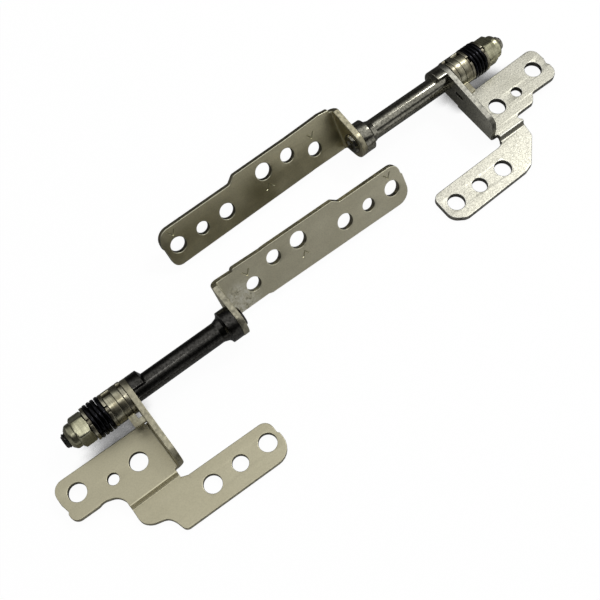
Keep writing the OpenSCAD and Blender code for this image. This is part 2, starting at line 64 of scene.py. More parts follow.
# %% Shared sizes
SHEET = 1.2
BEND_IN = 0.45
BEND_OUT = BEND_IN + SHEET
BEND_LEN = (BEND_IN + SHEET / 2) * math.pi / 2
BEND_CUTS = 9
NECK_D = 3.6
TAIL_D = 4.0
THREAD_D = 3.0
RING_D = 6.7
EAR_X = 22.3
ARM_BACK = 3.9
ARM_TILT = math.radians(55)
print("sheet", SHEET, "mm, middle line of a bend", round(BEND_LEN, 3), "mm")

# %% [markdown]
# Outlines. A stamped plate is a flat outline with rounded corners. A bevel modifier could round
# them, but a real blank has another radius at each corner. So each corner is written once, as
# its place and its radius, and one formula turns it into an arc.

# %% Outline helpers
CORNER_STEPS = 8
CIRCLE_STEPS = 40
HEAD_STEPS = 36


def rounded(corners):
    """Closed outline from rows of (a, b, radius). At each corner the arc's centre lies on the
    bisector at radius / sin(half angle), and the arc runs between the two points where the
    sides leave it."""
    c = np.array(corners, float)
    here = c[:, :2]
    r = c[:, 2]
    to_prev = np.roll(here, 1, 0) - here
    to_next = np.roll(here, -1, 0) - here
    to_prev /= np.linalg.norm(to_prev, axis=1)[:, None]
    to_next /= np.linalg.norm(to_next, axis=1)[:, None]
    half = np.arccos(np.clip((to_prev * to_next).sum(1), -1, 1)) / 2
    middle = to_prev + to_next
    middle /= np.maximum(np.linalg.norm(middle, axis=1), 1e-9)[:, None]
    centre = here + middle * (r / np.sin(half))[:, None]
    start = here + to_prev * (r / np.tan(half))[:, None] - centre
    end = here + to_next * (r / np.tan(half))[:, None] - centre
    side = np.sign(start[:, 0] * end[:, 1] - start[:, 1] * end[:, 0])
    sweep = side * (math.pi - 2 * half)
    points = []
    for i in range(len(c)):
        if r[i] <= 0:
            points.append(here[i:i + 1])
            continue
        t = sweep[i] * np.linspace(0, 1, CORNER_STEPS)
        points.append(centre[i] + np.column_stack([
            start[i, 0] * np.cos(t) - start[i, 1] * np.sin(t),
            start[i, 0] * np.sin(t) + start[i, 1] * np.cos(t)]))
    return np.vstack(points)


def circle(a, b, d):
    """Points a + r cos t, b + r sin t for t once round."""
    t = np.linspace(0, 2 * math.pi, CIRCLE_STEPS, endpoint=False)
    return np.column_stack([a + d / 2 * np.cos(t), b + d / 2 * np.sin(t)])


def touch_angle(point, r, side):
    """Angle at which a line from the point touches a circle of radius r round the origin: the
    point's own angle plus or minus arccos(r / distance)."""
    return math.atan2(point[1], point[0]) + side * math.acos(r / math.hypot(*point))


def arc(r, start, end):
    """Points r (cos t, sin t) for t from start to end."""
    t = np.linspace(start, end, HEAD_STEPS)
    return np.column_stack([r * np.cos(t), r * np.sin(t)])


print("a hole's outline has", len(circle(0, 0, 1)), "points")

# %% [markdown]
# Surfaces. A sheared edge isn't a plain bevel: it has a small burr below, a straight cut, and the
# roll-over that the punch leaves on top. So the outline is carried up through the thickness
# along that profile, and flat faces close it. A bend or a step is then only a formula that
# moves the points.

# %% Sheet surfaces
TOP_ROLL = 0.15
LOW_ROLL = 0.07
SHARPEST = 0.4
RIM_WEAR = 0.88


def signed_area(loop):
    """Half the sum of cross products of neighbouring points."""
    nxt = np.roll(loop, -1, 0)
    return 0.5 * (loop[:, 0] * nxt[:, 1] - loop[:, 1] * nxt[:, 0]).sum()


def inward(loop):
    """Unit-offset direction at each point: the sum of the two side normals over one plus
    their dot product, so that every side moves by exactly one. The divisor has a floor, or the
    point of a very sharp corner would run away."""
    d = np.roll(loop, -1, 0) - loop
    d /= np.linalg.norm(d, axis=1)[:, None]
    n = np.column_stack([-d[:, 1], d[:, 0]])
    before = np.roll(n, 1, 0)
    return (n + before) / (1 + (n * before).sum(1))[:, None].clip(SHARPEST)


def edge_profile():
    """Rows of (inset, height, edge wear) from the underside up: quarter round of the burr
    side, straight cut, quarter round of the roll-over side. Wear is 1 on the cut."""
    low = np.linspace(0, math.pi / 2, 3)
    top = np.linspace(0, math.pi / 2, 6)
    rows = [(LOW_ROLL * (1 - math.sin(t)), -SHEET + LOW_ROLL * (1 - math.cos(t)), math.sin(t))
            for t in low]
    rows += [(TOP_ROLL * (1 - math.cos(t)), -TOP_ROLL + TOP_ROLL * math.sin(t), math.cos(t))
             for t in top]
    return rows


def join_rings(bm, low, high):
    """Faces between two closed rings with as many points each."""
    for i in range(len(low)):
        j = (i + 1) % len(low)
        bm.faces.new((low[i], low[j], high[j], high[i]))


def fill(bm, rings, facing):
    """Flat face inside the first ring and outside the others, as triangles that all face up
    (1) or down (-1)."""
    flat = [v for ring in rings for v in ring]
    for t in tessellate_polygon([[v.co for v in ring] for ring in rings]):
        tri = [flat[i] for i in t]
        if (tri[1].co - tri[0].co).cross(tri[2].co - tri[0].co).z * facing < 0:
            tri.reverse()
        bm.faces.new(tri)


print("edge profile:", len(edge_profile()), "rows")

# %% [markdown]
# Pressed marks. The arms carry small V arrows that a punch has pressed in. Each is cut out of
# the top face as a hole, and a sloped rim and a flat floor close it, so the mark is real depth
# and not only a darker line.

# %% Pressed marks
STAMP_WIDE = 0.95
STAMP_TALL = 1.35
STAMP_STROKE = 0.3
STAMP_RIM = 0.09
STAMP_DEEP = 0.13
STAMP_WEAR = 0.8


def vee(x, y, way):
    """Outline of a V with its point at (x, y), opening toward +Y or -Y. A stroke of width w
    leaning by an angle is w / cos wide across and w / sin tall at the point."""
    slant = math.hypot(STAMP_WIDE, STAMP_TALL)
    across = STAMP_STROKE * slant / STAMP_TALL
    tall = STAMP_STROKE * slant / STAMP_WIDE
    return np.array([(x - STAMP_WIDE, y + way * STAMP_TALL), (x, y),
                     (x + STAMP_WIDE, y + way * STAMP_TALL),
                     (x + STAMP_WIDE - across, y + way * STAMP_TALL), (x, y + way * tall),
                     (x - STAMP_WIDE + across, y + way * STAMP_TALL)])


def sink_stamp(bm, loop):
    """Sunk stroke in the top face: a sloped rim down to a flat floor. Gives back the rim."""
    loop = loop[::-1] if signed_area(loop) > 0 else loop
    low = loop - inward(loop) * STAMP_RIM
    wear = bm.verts.layers.float["edge"]
    rim = [bm.verts.new((p[0], p[1], 0)) for p in loop]
    floor = [bm.verts.new((p[0], p[1], -STAMP_DEEP)) for p in low]
    for v in floor:
        v[wear] = STAMP_WEAR
    join_rings(bm, floor, rim)
    fill(bm, [floor], 1)
    return rim


print("a mark's outline has", len(vee(0, 0, 1)), "points")

# %% [markdown]
# Flat blanks. Holes could be cut with booleans, but those leave thin, badly lit faces. Here the
# outline and every hole go up the same edge profile, and the two faces between them are closed
# with triangles. Straight cuts across the blank give it points to bend at.

# %% Flat blanks
def sheet_blank(outline, holes, stamps=()):
    """bmesh of a flat sheet: every outline carried up the edge profile, top and bottom closed.
    The top face lies at height 0."""
    loops = [outline if signed_area(outline) > 0 else outline[::-1]]
    loops += [h[::-1] if signed_area(h) > 0 else h for h in holes]
    bm = bmesh.new()
    wear = bm.verts.layers.float.new("edge")
    bottom, top = [], []
    for loop in loops:
        step = inward(loop)
        rings = []
        for inset, height, worn in edge_profile():
            ring = [bm.verts.new((x, y, height)) for x, y in loop + step * inset]
            for v in ring:
                v[wear] = worn * (RIM_WEAR if loop is loops[0] else 1.0)
            rings.append(ring)
        for low, high in zip(rings[:-1], rings[1:]):
            join_rings(bm, low, high)
        bottom.append(rings[0])
        top.append(rings[-1])
    top += [sink_stamp(bm, stamp) for stamp in stamps]
    fill(bm, bottom, -1)
    fill(bm, top, 1)
    return bm


def cut_across(bm, axis, places):
    """Cuts the sheet along straight lines, so that it can bend there."""
    normal = Vector((axis == 0, axis == 1, 0))
    for place in places:
        bmesh.ops.bisect_plane(bm, geom=bm.verts[:] + bm.edges[:] + bm.faces[:],
                               plane_co=normal * place, plane_no=normal, dist=1e-5)


def bmesh_arrays(bm):
    """Coordinates, faces and wear of a bmesh as plain arrays and lists. It frees the bmesh."""
    bm.verts.index_update()
    wear = bm.verts.layers.float["edge"]
    co = np.array([v.co for v in bm.verts])
    worn = np.array([v[wear] for v in bm.verts])
    faces = [[v.index for v in f.verts] for f in bm.faces]
    bm.free()
    return co, faces, worn


trial = sheet_blank(circle(0, 0, RING_D), [circle(0, 0, THREAD_D)])
print("a trial washer cut from sheet has", len(trial.faces), "faces")
trial.free()

# %% [markdown]
# From a drawn surface to a piece. A hinge is drawn once, in its own frame, where the shaft is
# the X axis and X grows toward the middle of the laptop. The right hinge is the mirror image.
# A mirrored surface would be inside out, so the volume is measured and the faces are turned
# where it comes out negative.

# %% Pieces
SIDES = {"left": 1.0, "right": -1.0}
SHARP_EDGE = math.radians(35)
made = []


def new_object(name, data):
    """An object of the scene with this data."""
    obj = bpy.data.objects.new(name, data)
    bpy.context.scene.collection.objects.link(obj)
    return obj


def arm_turned(co):
    """Turns points with the display arm, about the shaft."""
    y, z = co[:, 1], co[:, 2]
    c, s = math.cos(ARM_TILT), math.sin(ARM_TILT)
    return np.column_stack([co[:, 0], y * c - z * s, y * s + z * c])


def outward_faces(co, faces):
    """Faces in an order that makes the enclosed volume positive."""
    volume = 0.0
    for f in faces:
        a = co[f[0]]
        b = co[f[1:-1]]
        c = co[f[2:]]
        volume += (np.cross(b, c) @ a).sum()
    return faces if volume > 0 else [f[::-1] for f in faces]


def add_piece(name, side, surface, material, worn=None, moves=True, stands_for=True):
    """Places a hinge-frame surface, makes it an object, and rides it on its body. A piece that
    moves is first turned with the arm. A piece stands for the solid of its name, unless told
    not to."""
    co, faces = surface
    if moves:
        co = arm_turned(co)
    placed = (co * [SIDES[side], 1, 1] + shaft_points[side + "_arm"]) * MM
    faces = outward_faces(placed - placed.mean(0), faces)
    mesh = bpy.data.meshes.new(side + "_" + name + "_look")
    mesh.from_pydata(placed.tolist(), [], faces)
    mesh.update()
    if worn is not None:
        layer = mesh.attributes.new("edge", "FLOAT", "POINT")
        layer.data.foreach_set("value", worn.astype(np.float32))
    mesh.shade_smooth()
    mesh.set_sharp_from_angle(angle=SHARP_EDGE)
    mesh.materials.append(material)
    obj = new_object(mesh.name, mesh)
    obj.modifiers.new("even_light", "WEIGHTED_NORMAL").keep_sharp = True
    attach(obj, side + "_arm" if moves else "bases")
    if stands_for:
        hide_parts(side + "_" + name)
    made.append((obj.name, len(faces)))
    print(obj.name, len(faces), "faces")


print("hinges:", ", ".join(SIDES), "and bodies turned by", round(math.degrees(ARM_TILT)), "degrees")

# %% [markdown]
# Steel finishes. Nickel-plated sheet is a grey metal with faint rolling lines and a mottled
# haze. Black oxide is a dark metal with turning marks. Each finish is a small tree of shader
# nodes, and a few helpers add, feed and mix the nodes, so that a finish reads as a recipe.

# %% Node helpers
def add(tree, kind, inputs=None, **settings):
    """New shader node with its settings and its inputs, each a socket or a constant."""
    node = tree.nodes.new("ShaderNode" + kind)
    for key, value in settings.items():
        setattr(node, key, value)
    for key, value in (inputs or {}).items():
        feed(tree, node.inputs[key], value)
    return node


def feed(tree, socket, value):
    """Links another socket to this one, or sets a constant on it."""
    if isinstance(value, bpy.types.NodeSocket):
        tree.links.new(value, socket)
    else:
        socket.default_value = value


def new_material(name, metallic=1.0):
    """Empty node material: itself, its node tree and its shader."""
    mat = bpy.data.materials.new(name)
    mat.use_nodes = True
    shader = mat.node_tree.nodes["Principled BSDF"]
    shader.inputs["Metallic"].default_value = metallic
    return mat, mat.node_tree, shader


def ramp(tree, value, stops):
    """Colour ramp through (place, colour) stops."""
    node = add(tree, "ValToRGB", {"Fac": value})
    bar = node.color_ramp
    while len(bar.elements) < len(stops):
        bar.elements.new(0.5)
    for element, (place, colour) in zip(bar.elements, stops):
        element.position = place
        element.color = (*colour, 1)
    return node.outputs["Color"]


def grey(value):
    """A grey colour."""
    return (value, value, value)


def tone(tree, value, stops):
    """Ramp through (place, grey value) stops."""
    return ramp(tree, value, [(place, grey(level)) for place, level in stops])


def mix(tree, factor, a, b, how="MIX"):
    """Mixes two colours, each a socket or a colour, by a socket or a number."""
    node = add(tree, "Mix", data_type="RGBA", blend_type=how)
    for key, kind, value in (("Factor", "VALUE", factor), ("A", "RGBA", a), ("B", "RGBA", b)):
        socket = next(s for s in node.inputs if s.name == key and s.type == kind)
        feed(tree, socket, (*value, 1) if isinstance(value, tuple) else value)
    return next(s for s in node.outputs if s.type == "RGBA")


def times(tree, a, b):
    """Two colours multiplied with each other."""
    return mix(tree, 1.0, a, b, "MULTIPLY")


def scaled(colour, share):
    """A colour times a number, held to 1."""
    return tuple(min(1, share * c) for c in colour)


print("a colour has", len(grey(0.5)), "channels, and a ramp's stops are (place, colour)")

# %% [markdown]
# Patterns. Noise on the object's coordinates is drawn out along an axis into rolling lines or
# squeezed round it into turning marks. The wear of an edge comes from a value on the mesh, which
# also carries painted highlights: the brighter roll-over line and the line on the step's crest.
# The painted light and shade on the step's slope comes from the way its normal looks, so no
# picture is laid on the steel.

# %% Patterns
NOT_UPRIGHT = (0.05, 0.15)


def noise(tree, scale, stretch=(1, 1, 1), detail=4, rough=0.55):
    """Noise on object coordinates. An axis with a small stretch draws it out into lines."""
    where = add(tree, "TexCoord").outputs["Object"]
    place = add(tree, "Mapping", {"Vector": where, "Scale": stretch}).outputs["Vector"]
    return add(tree, "TexNoise", {"Vector": place, "Scale": scale, "Detail": detail,
                                  "Roughness": rough}).outputs["Fac"]


def edge_value(tree):
    """Socket of the wear value that each mesh point carries."""
    return add(tree, "Attribute", attribute_name="edge").outputs["Fac"]


def rise_between(tree, value, low, high):
    """0 below low, 1 above high, and a straight line between them."""
    return add(tree, "MapRange", {"Value": value, "From Min": low,
                                  "From Max": high}).outputs["Result"]


def set_bump(tree, shader, height, strength, distance, below=None):
    """Bump from a height socket, on top of another bump if one is given."""
    node = add(tree, "Bump", {"Strength": strength, "Distance": distance, "Height": height})
    if below:
        tree.links.new(below, node.inputs["Normal"])
    tree.links.new(node.outputs["Normal"], shader.inputs["Normal"])
    return node.outputs["Normal"]


def slope_to_front(tree, begins, full):
    """1 where the surface slopes down to the front, 0 where it is level or upright: a ramp of
    the normal's Y times one of its Z."""
    normal = add(tree, "TexCoord").outputs["Normal"]
    split = add(tree, "SeparateXYZ", {"Vector": normal})
    forward = rise_between(tree, split.outputs["Y"], begins, full)
    upward = rise_between(tree, split.outputs["Z"], *NOT_UPRIGHT)
    return add(tree, "Math", {0: forward, 1: upward}, operation="MULTIPLY").outputs["Value"]


print("patterns:", ", ".join(f.__name__ for f in (noise, edge_value, slope_to_front)))

# %% [markdown]
# Nickel sheet. Cold-rolled strip has faint lines along its length, and the plating over it is
# mottled. Where the punch has cut it, the steel is streaked through the thickness, and where the
# cut meets the face a brighter line runs along the roll-over: worn-bright plating and a painted
# highlight.

# %% Nickel sheet
ROLLED_SHARE = 0.35
# Gain of the brighter roll-over line on cut edges: worn-bright plating and a painted highlight.
RUB_AND_HIGHLIGHT_GAIN = 1.35
STEP_ROUGH = 0.8
SCUFF_SHARE = 0.75
SCUFF_FULL = 0.45
SCUFF_DARK = 0.4
SCUFF_BRIGHT = (1.0, 0.98, 0.86)


def sheared_edge(tree, light, shares, wear):
    """The cut edge: streaks through the thickness between two shares of the face's colour,
    darker along the middle of the cut."""
    streaks = noise(tree, 1500, stretch=(1, 1, 0.15), detail=3)
    edge = ramp(tree, streaks, [(0.3, scaled(light, shares[0])),
                                (0.7, scaled(light, shares[1]))])
    return times(tree, edge, tone(tree, wear, [(0.9, 1.0), (0.98, 0.5)]))


def scuffed(tree, shader, base, light, dark, rub, below):
    """The base colour with a scuffed patch on it: broken scratches with a bump of their own,
    which fade in from the patch's radius toward its middle."""
    where = add(tree, "TexCoord").outputs["Object"]
    away = add(tree, "VectorMath", {0: where, 1: rub[0]}, operation="DISTANCE")
    reach = rise_between(tree, away.outputs["Value"], rub[1], rub[1] * SCUFF_FULL)
    scratches = noise(tree, 1300, detail=5, rough=0.7)
    marks = ramp(tree, scratches, [(0.33, scaled(dark, SCUFF_DARK)), (0.45, light),
                                   (0.58, SCUFF_BRIGHT)])
    set_bump(tree, shader, times(tree, scratches, reach), 0.8, 0.00008, below)
    return mix(tree, times(tree, grey(SCUFF_SHARE), reach), base, marks)


def nickel_sheet(name, light, dark, speckle, roughness, sheared=(0.42, 0.85), rub=None,
                 step=None):
    """Rolled, nickel-plated sheet: base colour between light and dark by a soft mottling, fine
    rolling lines along X, pin-prick speckle, a brighter roll-over line at the cut (worn-bright
    plating and a painted highlight), and the sheared edge. A rub is a scuffed patch: its middle
    in metres and its radius. A step gets painted light or shade and a duller skin where it
    slopes to the front: its colour as a share of the light one, and the normal's Y where that
    begins and is full."""
    mat, tree, shader = new_material(name)
    clouds = noise(tree, 110, detail=5, rough=0.6)
    lines = noise(tree, 260, stretch=(0.12, 1, 1), detail=3)
    grains = noise(tree, 3800, detail=2, rough=0.6)
    wear = edge_value(tree)
    base = ramp(tree, clouds, [(0.36, dark), (0.66, light)])
    base = mix(tree, ROLLED_SHARE, base, ramp(tree, lines, [(0.3, dark), (0.7, light)]))
    base = times(tree, base, tone(tree, grains, [(0.36, 1 - speckle), (0.60, 1.0)]))
    # Worn-bright plating and a painted highlight along the roll-over of each cut.
    rim_rub_and_highlight = tone(tree, wear, [(0.0, 0.0), (0.3, 1.0), (0.5, 1.0), (0.75, 0.0)])
    base = mix(tree, rim_rub_and_highlight, base, scaled(light, RUB_AND_HIGHLIGHT_GAIN))
    painted_step_light = 0.0
    # Painted light and shade on the step: where the normal slopes to the front, the colour becomes
    # a share of the light one, and the roughness there is raised too.
    if step:
        painted_step_light = slope_to_front(tree, *step[1:])
        base = mix(tree, painted_step_light, base, scaled(light, step[0]))
    base = mix(tree, tone(tree, wear, [(0.45, 0.0), (0.8, 1.0)]), base,
               sheared_edge(tree, light, sheared, wear))
    dull = tone(tree, clouds, [(0.3, roughness - 0.05), (0.7, roughness + 0.08)])
    first = set_bump(tree, shader, lines, 0.12, 0.00004)
    last = set_bump(tree, shader, grains, 0.10 + speckle, 0.00002, first)
    if rub:
        base = scuffed(tree, shader, base, light, dark, rub, last)
    tree.links.new(base, shader.inputs["Base Color"])
    tree.links.new(mix(tree, painted_step_light, dull, grey(STEP_ROUGH)), shader.inputs["Roughness"])
    return mat


print("the rubbed line of an edge has", RUB_AND_HIGHLIGHT_GAIN, "times the face's colour")

# %% Sheet finishes
fold_rub = (arm_turned(np.array([[EAR_X + 4.0, 0.2, -ARM_BACK]]))[0]
            + shaft_points["left_arm"]) * MM
# The right base is given lighter colours than the left one: a lit and a shaded copy of the same
# nickel, painted light and shade.
finish = {
    # A step's first number is its painted colour share: above 1 on the left base, a painted
    # highlight; below 1 on the right base, painted shade.
    "left_base": nickel_sheet("left_base_nickel", (0.61, 0.572, 0.415), (0.51, 0.475, 0.335),
                              0.08, 0.42, step=(1.25, -0.3, -0.75)),
    "right_base": nickel_sheet("right_base_nickel", (0.82, 0.80, 0.69), (0.63, 0.615, 0.51),
                               0.38, 0.36, (0.2, 0.5), step=(0.5, -0.08, -0.45)),
    "left_arm": nickel_sheet("left_arm_nickel", (0.76, 0.72, 0.54), (0.56, 0.525, 0.38),
                             0.10, 0.36, (0.3, 0.7), (fold_rub, 0.0045)),
    "right_arm": nickel_sheet("right_arm_nickel", (0.88, 0.82, 0.575), (0.54, 0.505, 0.345),
                              0.10, 0.34, (0.3, 0.7)),
}
print("sheet finishes", sorted(finish), "with a scuff at", fold_rub.round(4), "m")

# %% [markdown]
# Turned steel. The shafts and springs are blackened in an oil bath, which leaves a dark skin
# with a brown bloom. The rings and nuts are plated, tarnish in patches, and hold dark oil in
# the joints between them. The lathe's fine marks run round the axis on all of them.

# %% Turned steel
OIL = (0.035, 0.03, 0.02)


def black_steel(name, colour, roughness, marks):
    """Black oxide on turned steel: near-black metal, turning marks as noise squeezed along X,
    a brown-grey bloom where the oil has dried, and fine speckle."""
    mat, tree, shader = new_material(name)
    turning = noise(tree, 700, stretch=(1, 0.06, 0.06), detail=4)
    bloom = noise(tree, 160, detail=5, rough=0.65)
    specks = noise(tree, 2400, detail=2)
    brown = tuple(1.5 * c + 0.008 for c in colour)
    base = ramp(tree, bloom, [(0.4, colour), (0.75, brown)])
    base = times(tree, base, tone(tree, specks, [(0.35, 0.5), (0.6, 1.15)]))
    tree.links.new(base, shader.inputs["Base Color"])
    tree.links.new(tone(tree, bloom, [(0.3, roughness), (0.8, roughness + 0.08)]),
                   shader.inputs["Roughness"])
    set_bump(tree, shader, turning, marks, 0.00003)
    return mat


def plated_ring(name, light, dark, roughness):
    """Plated turned ring: bright metal with tarnish in soft patches, turning marks round the
    axis, scratches along it, and dark oil where it meets its neighbour."""
    mat, tree, shader = new_material(name)
    patches = noise(tree, 420, detail=5, rough=0.6)
    turning = noise(tree, 2600, stretch=(1, 0.08, 0.08), detail=3)
    scratches = noise(tree, 1800, stretch=(0.1, 1, 1), detail=2)
    base = ramp(tree, patches, [(0.34, dark), (0.64, light)])
    base = times(tree, base, tone(tree, turning, [(0.35, 0.66), (0.6, 1.0)]))
    base = times(tree, base, tone(tree, scratches, [(0.3, 0.7), (0.55, 1.0)]))
    tree.links.new(mix(tree, edge_value(tree), base, OIL), shader.inputs["Base Color"])
    tree.links.new(tone(tree, patches, [(0.3, roughness + 0.14), (0.7, roughness)]),
                   shader.inputs["Roughness"])
    set_bump(tree, shader, turning, 0.3, 0.00002)
    return mat


finish |= {
    # The right shaft and nut are given much lighter colours than the left ones: lit and shaded
    # copies of the same finish, painted light and shade.
    "left_shaft": black_steel("left_shaft_black_painted_shade", (0.06, 0.058, 0.053), 0.2, 0.3),
    "right_shaft": black_steel("right_shaft_black_painted_light", (0.30, 0.29, 0.24), 0.10, 0.2),
    "spring": black_steel("spring_black", (0.012, 0.012, 0.014), 0.2, 0.1),
    "ring": plated_ring("ring_nickel", (0.64, 0.61, 0.47), (0.30, 0.27, 0.19), 0.22),
    "cam": plated_ring("cam_nickel", (0.68, 0.65, 0.49), (0.34, 0.31, 0.21), 0.20),
    "left_nut": plated_ring("left_nut_zinc_painted_shade", (0.56, 0.545, 0.39), (0.38, 0.37, 0.25), 0.26),
    "right_nut": plated_ring("right_nut_zinc_painted_light", (0.86, 0.84, 0.58), (0.58, 0.56, 0.36), 0.22),
}
print("all finishes", sorted(finish))

# %% [markdown]
# Base brackets. This is the half of the hinge that is screwed to the laptop's body: two plates
# with three holes each, and a wall that carries the shaft. Both plates and the wall are cut in
# one outline. The blank lies flat here, with X to the middle of the laptop and Y forward of the
# shaft.

# %% Base bracket outlines
PLATE_DROP = 3.7
JOGGLE = 1.2
JOGGLE_RUN = 0.8
STEP_Y = 15.6
OUTER_REAR = 3.7
BEND_FROM = OUTER_REAR + 1.1
OUTER_LEN = 21.7
INNER_LEN = 17.0
INNER_FRONT = 25.2
INNER_REAR = 17.0
WALL_HEAD_R = 3.2
WALL_FRONT_Y = 14.9
WALL_FRONT_Z = 1.55
WALL_FOOT_Z = -PLATE_DROP + BEND_IN
WALL_SHIFT = -BEND_OUT + BEND_LEN - WALL_FOOT_Z


def wall_outline():
    """The wall in the flat blank: its height above the bend becomes X. The head is an arc
    round the shaft hole, and both flanks touch it."""
    rear_low = (BEND_FROM, WALL_FOOT_Z)
    front_top = (WALL_FRONT_Y - 1.7, WALL_FRONT_Z)
    lower = touch_angle(rear_low, WALL_HEAD_R, -1)
    upper = touch_angle(front_top, WALL_HEAD_R, 1)
    head = arc(WALL_HEAD_R, lower, upper - 2 * math.pi)
    front = rounded([(*head[-1], 0), (*front_top, 2.0),
                     (WALL_FRONT_Y - 0.5, WALL_FRONT_Z - 0.7, 0.5),
                     (WALL_FRONT_Y, WALL_FRONT_Z - 2.6, 0.8),
                     (WALL_FRONT_Y, WALL_FOOT_Z, 0), (*rear_low, 0)])
    across = np.vstack([[rear_low], head, front[1:-1]])
    return np.column_stack([across[:, 1] + WALL_SHIFT, across[:, 0]])


def outer_corners(side):
    """Outer plate from its front end at the step, round its free end, to its rear edge."""
    free = -OUTER_LEN
    if side == "left":
        return [(-12.1, 14.4, 2.2), (-12.9, 12.8, 2.6), (-15.4, 11.95, 2.4), (-16.4, 12.25, 1.6),
                (free + 0.2, 12.15, 1.5), (free + 0.25, 10.1, 0.3), (free + 0.5, 9.7, 0.3),
                (free + 0.1, 8, 1.5), (free + 0.1, OUTER_REAR + 0.3, 2.3),
                (-BEND_OUT, OUTER_REAR + 0.7, 0.1)]
    return [(-8.4, 15.2, 0.2), (-7.7, 14.4, 0.4), (-8.6, 13.8, 1), (-12.7, 13.7, 1),
            (-14.3, 11.8, 0.9), (free + 0.02, 11.8, 2.2), (free + 0.02, 8.8, 0.6),
            (free + 0.4, 8.2, 0.4), (free, OUTER_REAR + 3.4, 0.8),
            (free + 0.05, OUTER_REAR - 0.2, 1.9), (-BEND_OUT, OUTER_REAR + 0.3, 0.1)]


def inner_corners(side):
    """Inner plate from the relief beside the wall, round its free end, to the step."""
    step_end = STEP_Y + JOGGLE_RUN
    if side == "left":
        return [(-2, step_end, 0.3), (-0.7, INNER_REAR - 0.1, 0.4),
                (INNER_LEN - 0.45, INNER_REAR + 0.35, 1.9), (INNER_LEN - 0.5, 20.4, 0.2),
                (INNER_LEN - 0.15, 20.8, 0.3), (INNER_LEN - 0.15, INNER_FRONT + 0.1, 3.4),
                (-6.6, INNER_FRONT - 0.4, 1.1), (-7.2, 22.6, 3.0), (-7.9, 21.1, 2.2),
                (-10.9, 20.3, 3.2), (-12.2, 18.9, 2.1)]
    return [(-2, step_end, 0.3), (-0.7, INNER_REAR - 0.2, 0.4),
            (INNER_LEN + 0.1, INNER_REAR + 0.2, 1.6), (INNER_LEN + 0.1, INNER_FRONT - 2, 2.6),
            (INNER_LEN - 2.5, INNER_FRONT - 0.25, 2.6), (-1.4, INNER_FRONT - 0.8, 1),
            (-3.3, 23.8, 1.2), (-8, 18.8, 1), (-8.4, step_end, 0)]


print("corners of the outer plates:", [len(outer_corners(side)) for side in SIDES])

# %% [markdown]
# Folding the base. A press brake folds the wall up, and a die steps the front plate down. Both
# are formulas on the flat blank here, so holes, edges and plates stay one surface, as they are
# one sheet of steel.

# %% Base brackets
SLOT_Y = RING_D / 2 + 0.35
SLOT_LEN = 2.2
SLOT_H = 0.8
SLOT_CORNER = 0.15
NECK_HOLE_D = NECK_D + 0.12
BASE_HOLES = [(-6.4, 9.8, 3.5), (-11.75, 9.65, 2.2), (-18.1, 7.7, 3.5),
              (1.8, 20.95, 3.5), (7.9, 20.95, 3.1), (14.0, 20.95, 3.5)]
STEP_CUTS = 19
# Painted highlight along the step's crest: its strength, how far before the crest it peaks, and how
# wide it is.
CREST_HIGHLIGHT = 0.3
CREST_BEFORE = 0.12
CREST_WIDE = 0.1


def base_map(co):
    """Folds the blank. Past the bend line, distance along the blank becomes an angle on a
    quarter circle and then height. At the step the top falls steeply and runs out flat, drop =
    1 - (1 - t) to the fifth, and the underside, set back by half the run, starts flat: t
    squared. Between them the two are blended by depth."""
    x, y, h = co.T
    depth = np.clip(-h / SHEET, 0, 1)
    t = np.clip((y - STEP_Y + depth * JOGGLE_RUN / 2) / JOGGLE_RUN, 0, 1)
    drop = JOGGLE * ((1 - depth) * (1 - (1 - t) ** 5) + depth * t ** 2)
    along = x + BEND_OUT
    turn = np.clip(along / BEND_LEN, 0, 1) * math.pi / 2
    folded = (along > 0) & (y < STEP_Y)
    rise = np.maximum(along - BEND_LEN, 0)
    fx = -BEND_OUT + (BEND_IN - h) * np.sin(turn)
    fz = WALL_FOOT_Z - (BEND_IN - h) * np.cos(turn) + rise
    return np.column_stack([np.where(folded, fx, x), -y,
                            np.where(folded, fz, -PLATE_DROP + h - drop)])


def crest_highlight(co):
    """Painted highlight along the crest of the step, drawn as a bright line through the edge value:
    a bell curve of the distance from it, on the top face only and not on the wall."""
    x, y, h = co.T
    bell = np.exp(-((y - STEP_Y + CREST_BEFORE) / CREST_WIDE) ** 2)
    return CREST_HIGHLIGHT * bell * (h > -0.01) * (x < BEND_OUT)


def base_bracket(side):
    """The whole stamped base bracket as one folded surface."""
    plan = [(-BEND_OUT, WALL_FRONT_Y, 0), (-2, WALL_FRONT_Y, 0.2)]
    plan += inner_corners(side) + outer_corners(side) + [(-BEND_OUT, BEND_FROM, 0)]
    outline = np.vstack([rounded(plan), wall_outline()])
    holes = [circle(x, y, d) for x, y, d in BASE_HOLES]
    holes.append(circle(WALL_SHIFT, 0, NECK_HOLE_D))
    low = WALL_SHIFT - SLOT_H / 2
    high = WALL_SHIFT + SLOT_H / 2
    holes.append(rounded([(low, SLOT_Y, SLOT_CORNER), (high, SLOT_Y, SLOT_CORNER),
                          (high, SLOT_Y + SLOT_LEN, SLOT_CORNER),
                          (low, SLOT_Y + SLOT_LEN, SLOT_CORNER)]))
    bm = sheet_blank(outline, holes)
    cut_across(bm, 0, -BEND_OUT + BEND_LEN * np.linspace(0, 1, BEND_CUTS))
    cut_across(bm, 1, STEP_Y + JOGGLE_RUN * np.linspace(-0.5, 1, STEP_CUTS))
    co, faces, worn = bmesh_arrays(bm)
    # The edge value also carries the painted highlight along the step's crest.
    add_piece("base_bracket", side, (base_map(co), faces), finish[side + "_base"],
              worn=np.maximum(worn, crest_highlight(co)), moves=False)


for side in SIDES:
    base_bracket(side)

# %% [markdown]
# Display arms. The arm is screwed to the lid. It is again one blank, a long strip with six holes
# and an ear that is folded toward the shaft, so it is drawn and folded like the base. The blank
# lies flat with X away from the ear and Y up the arm.

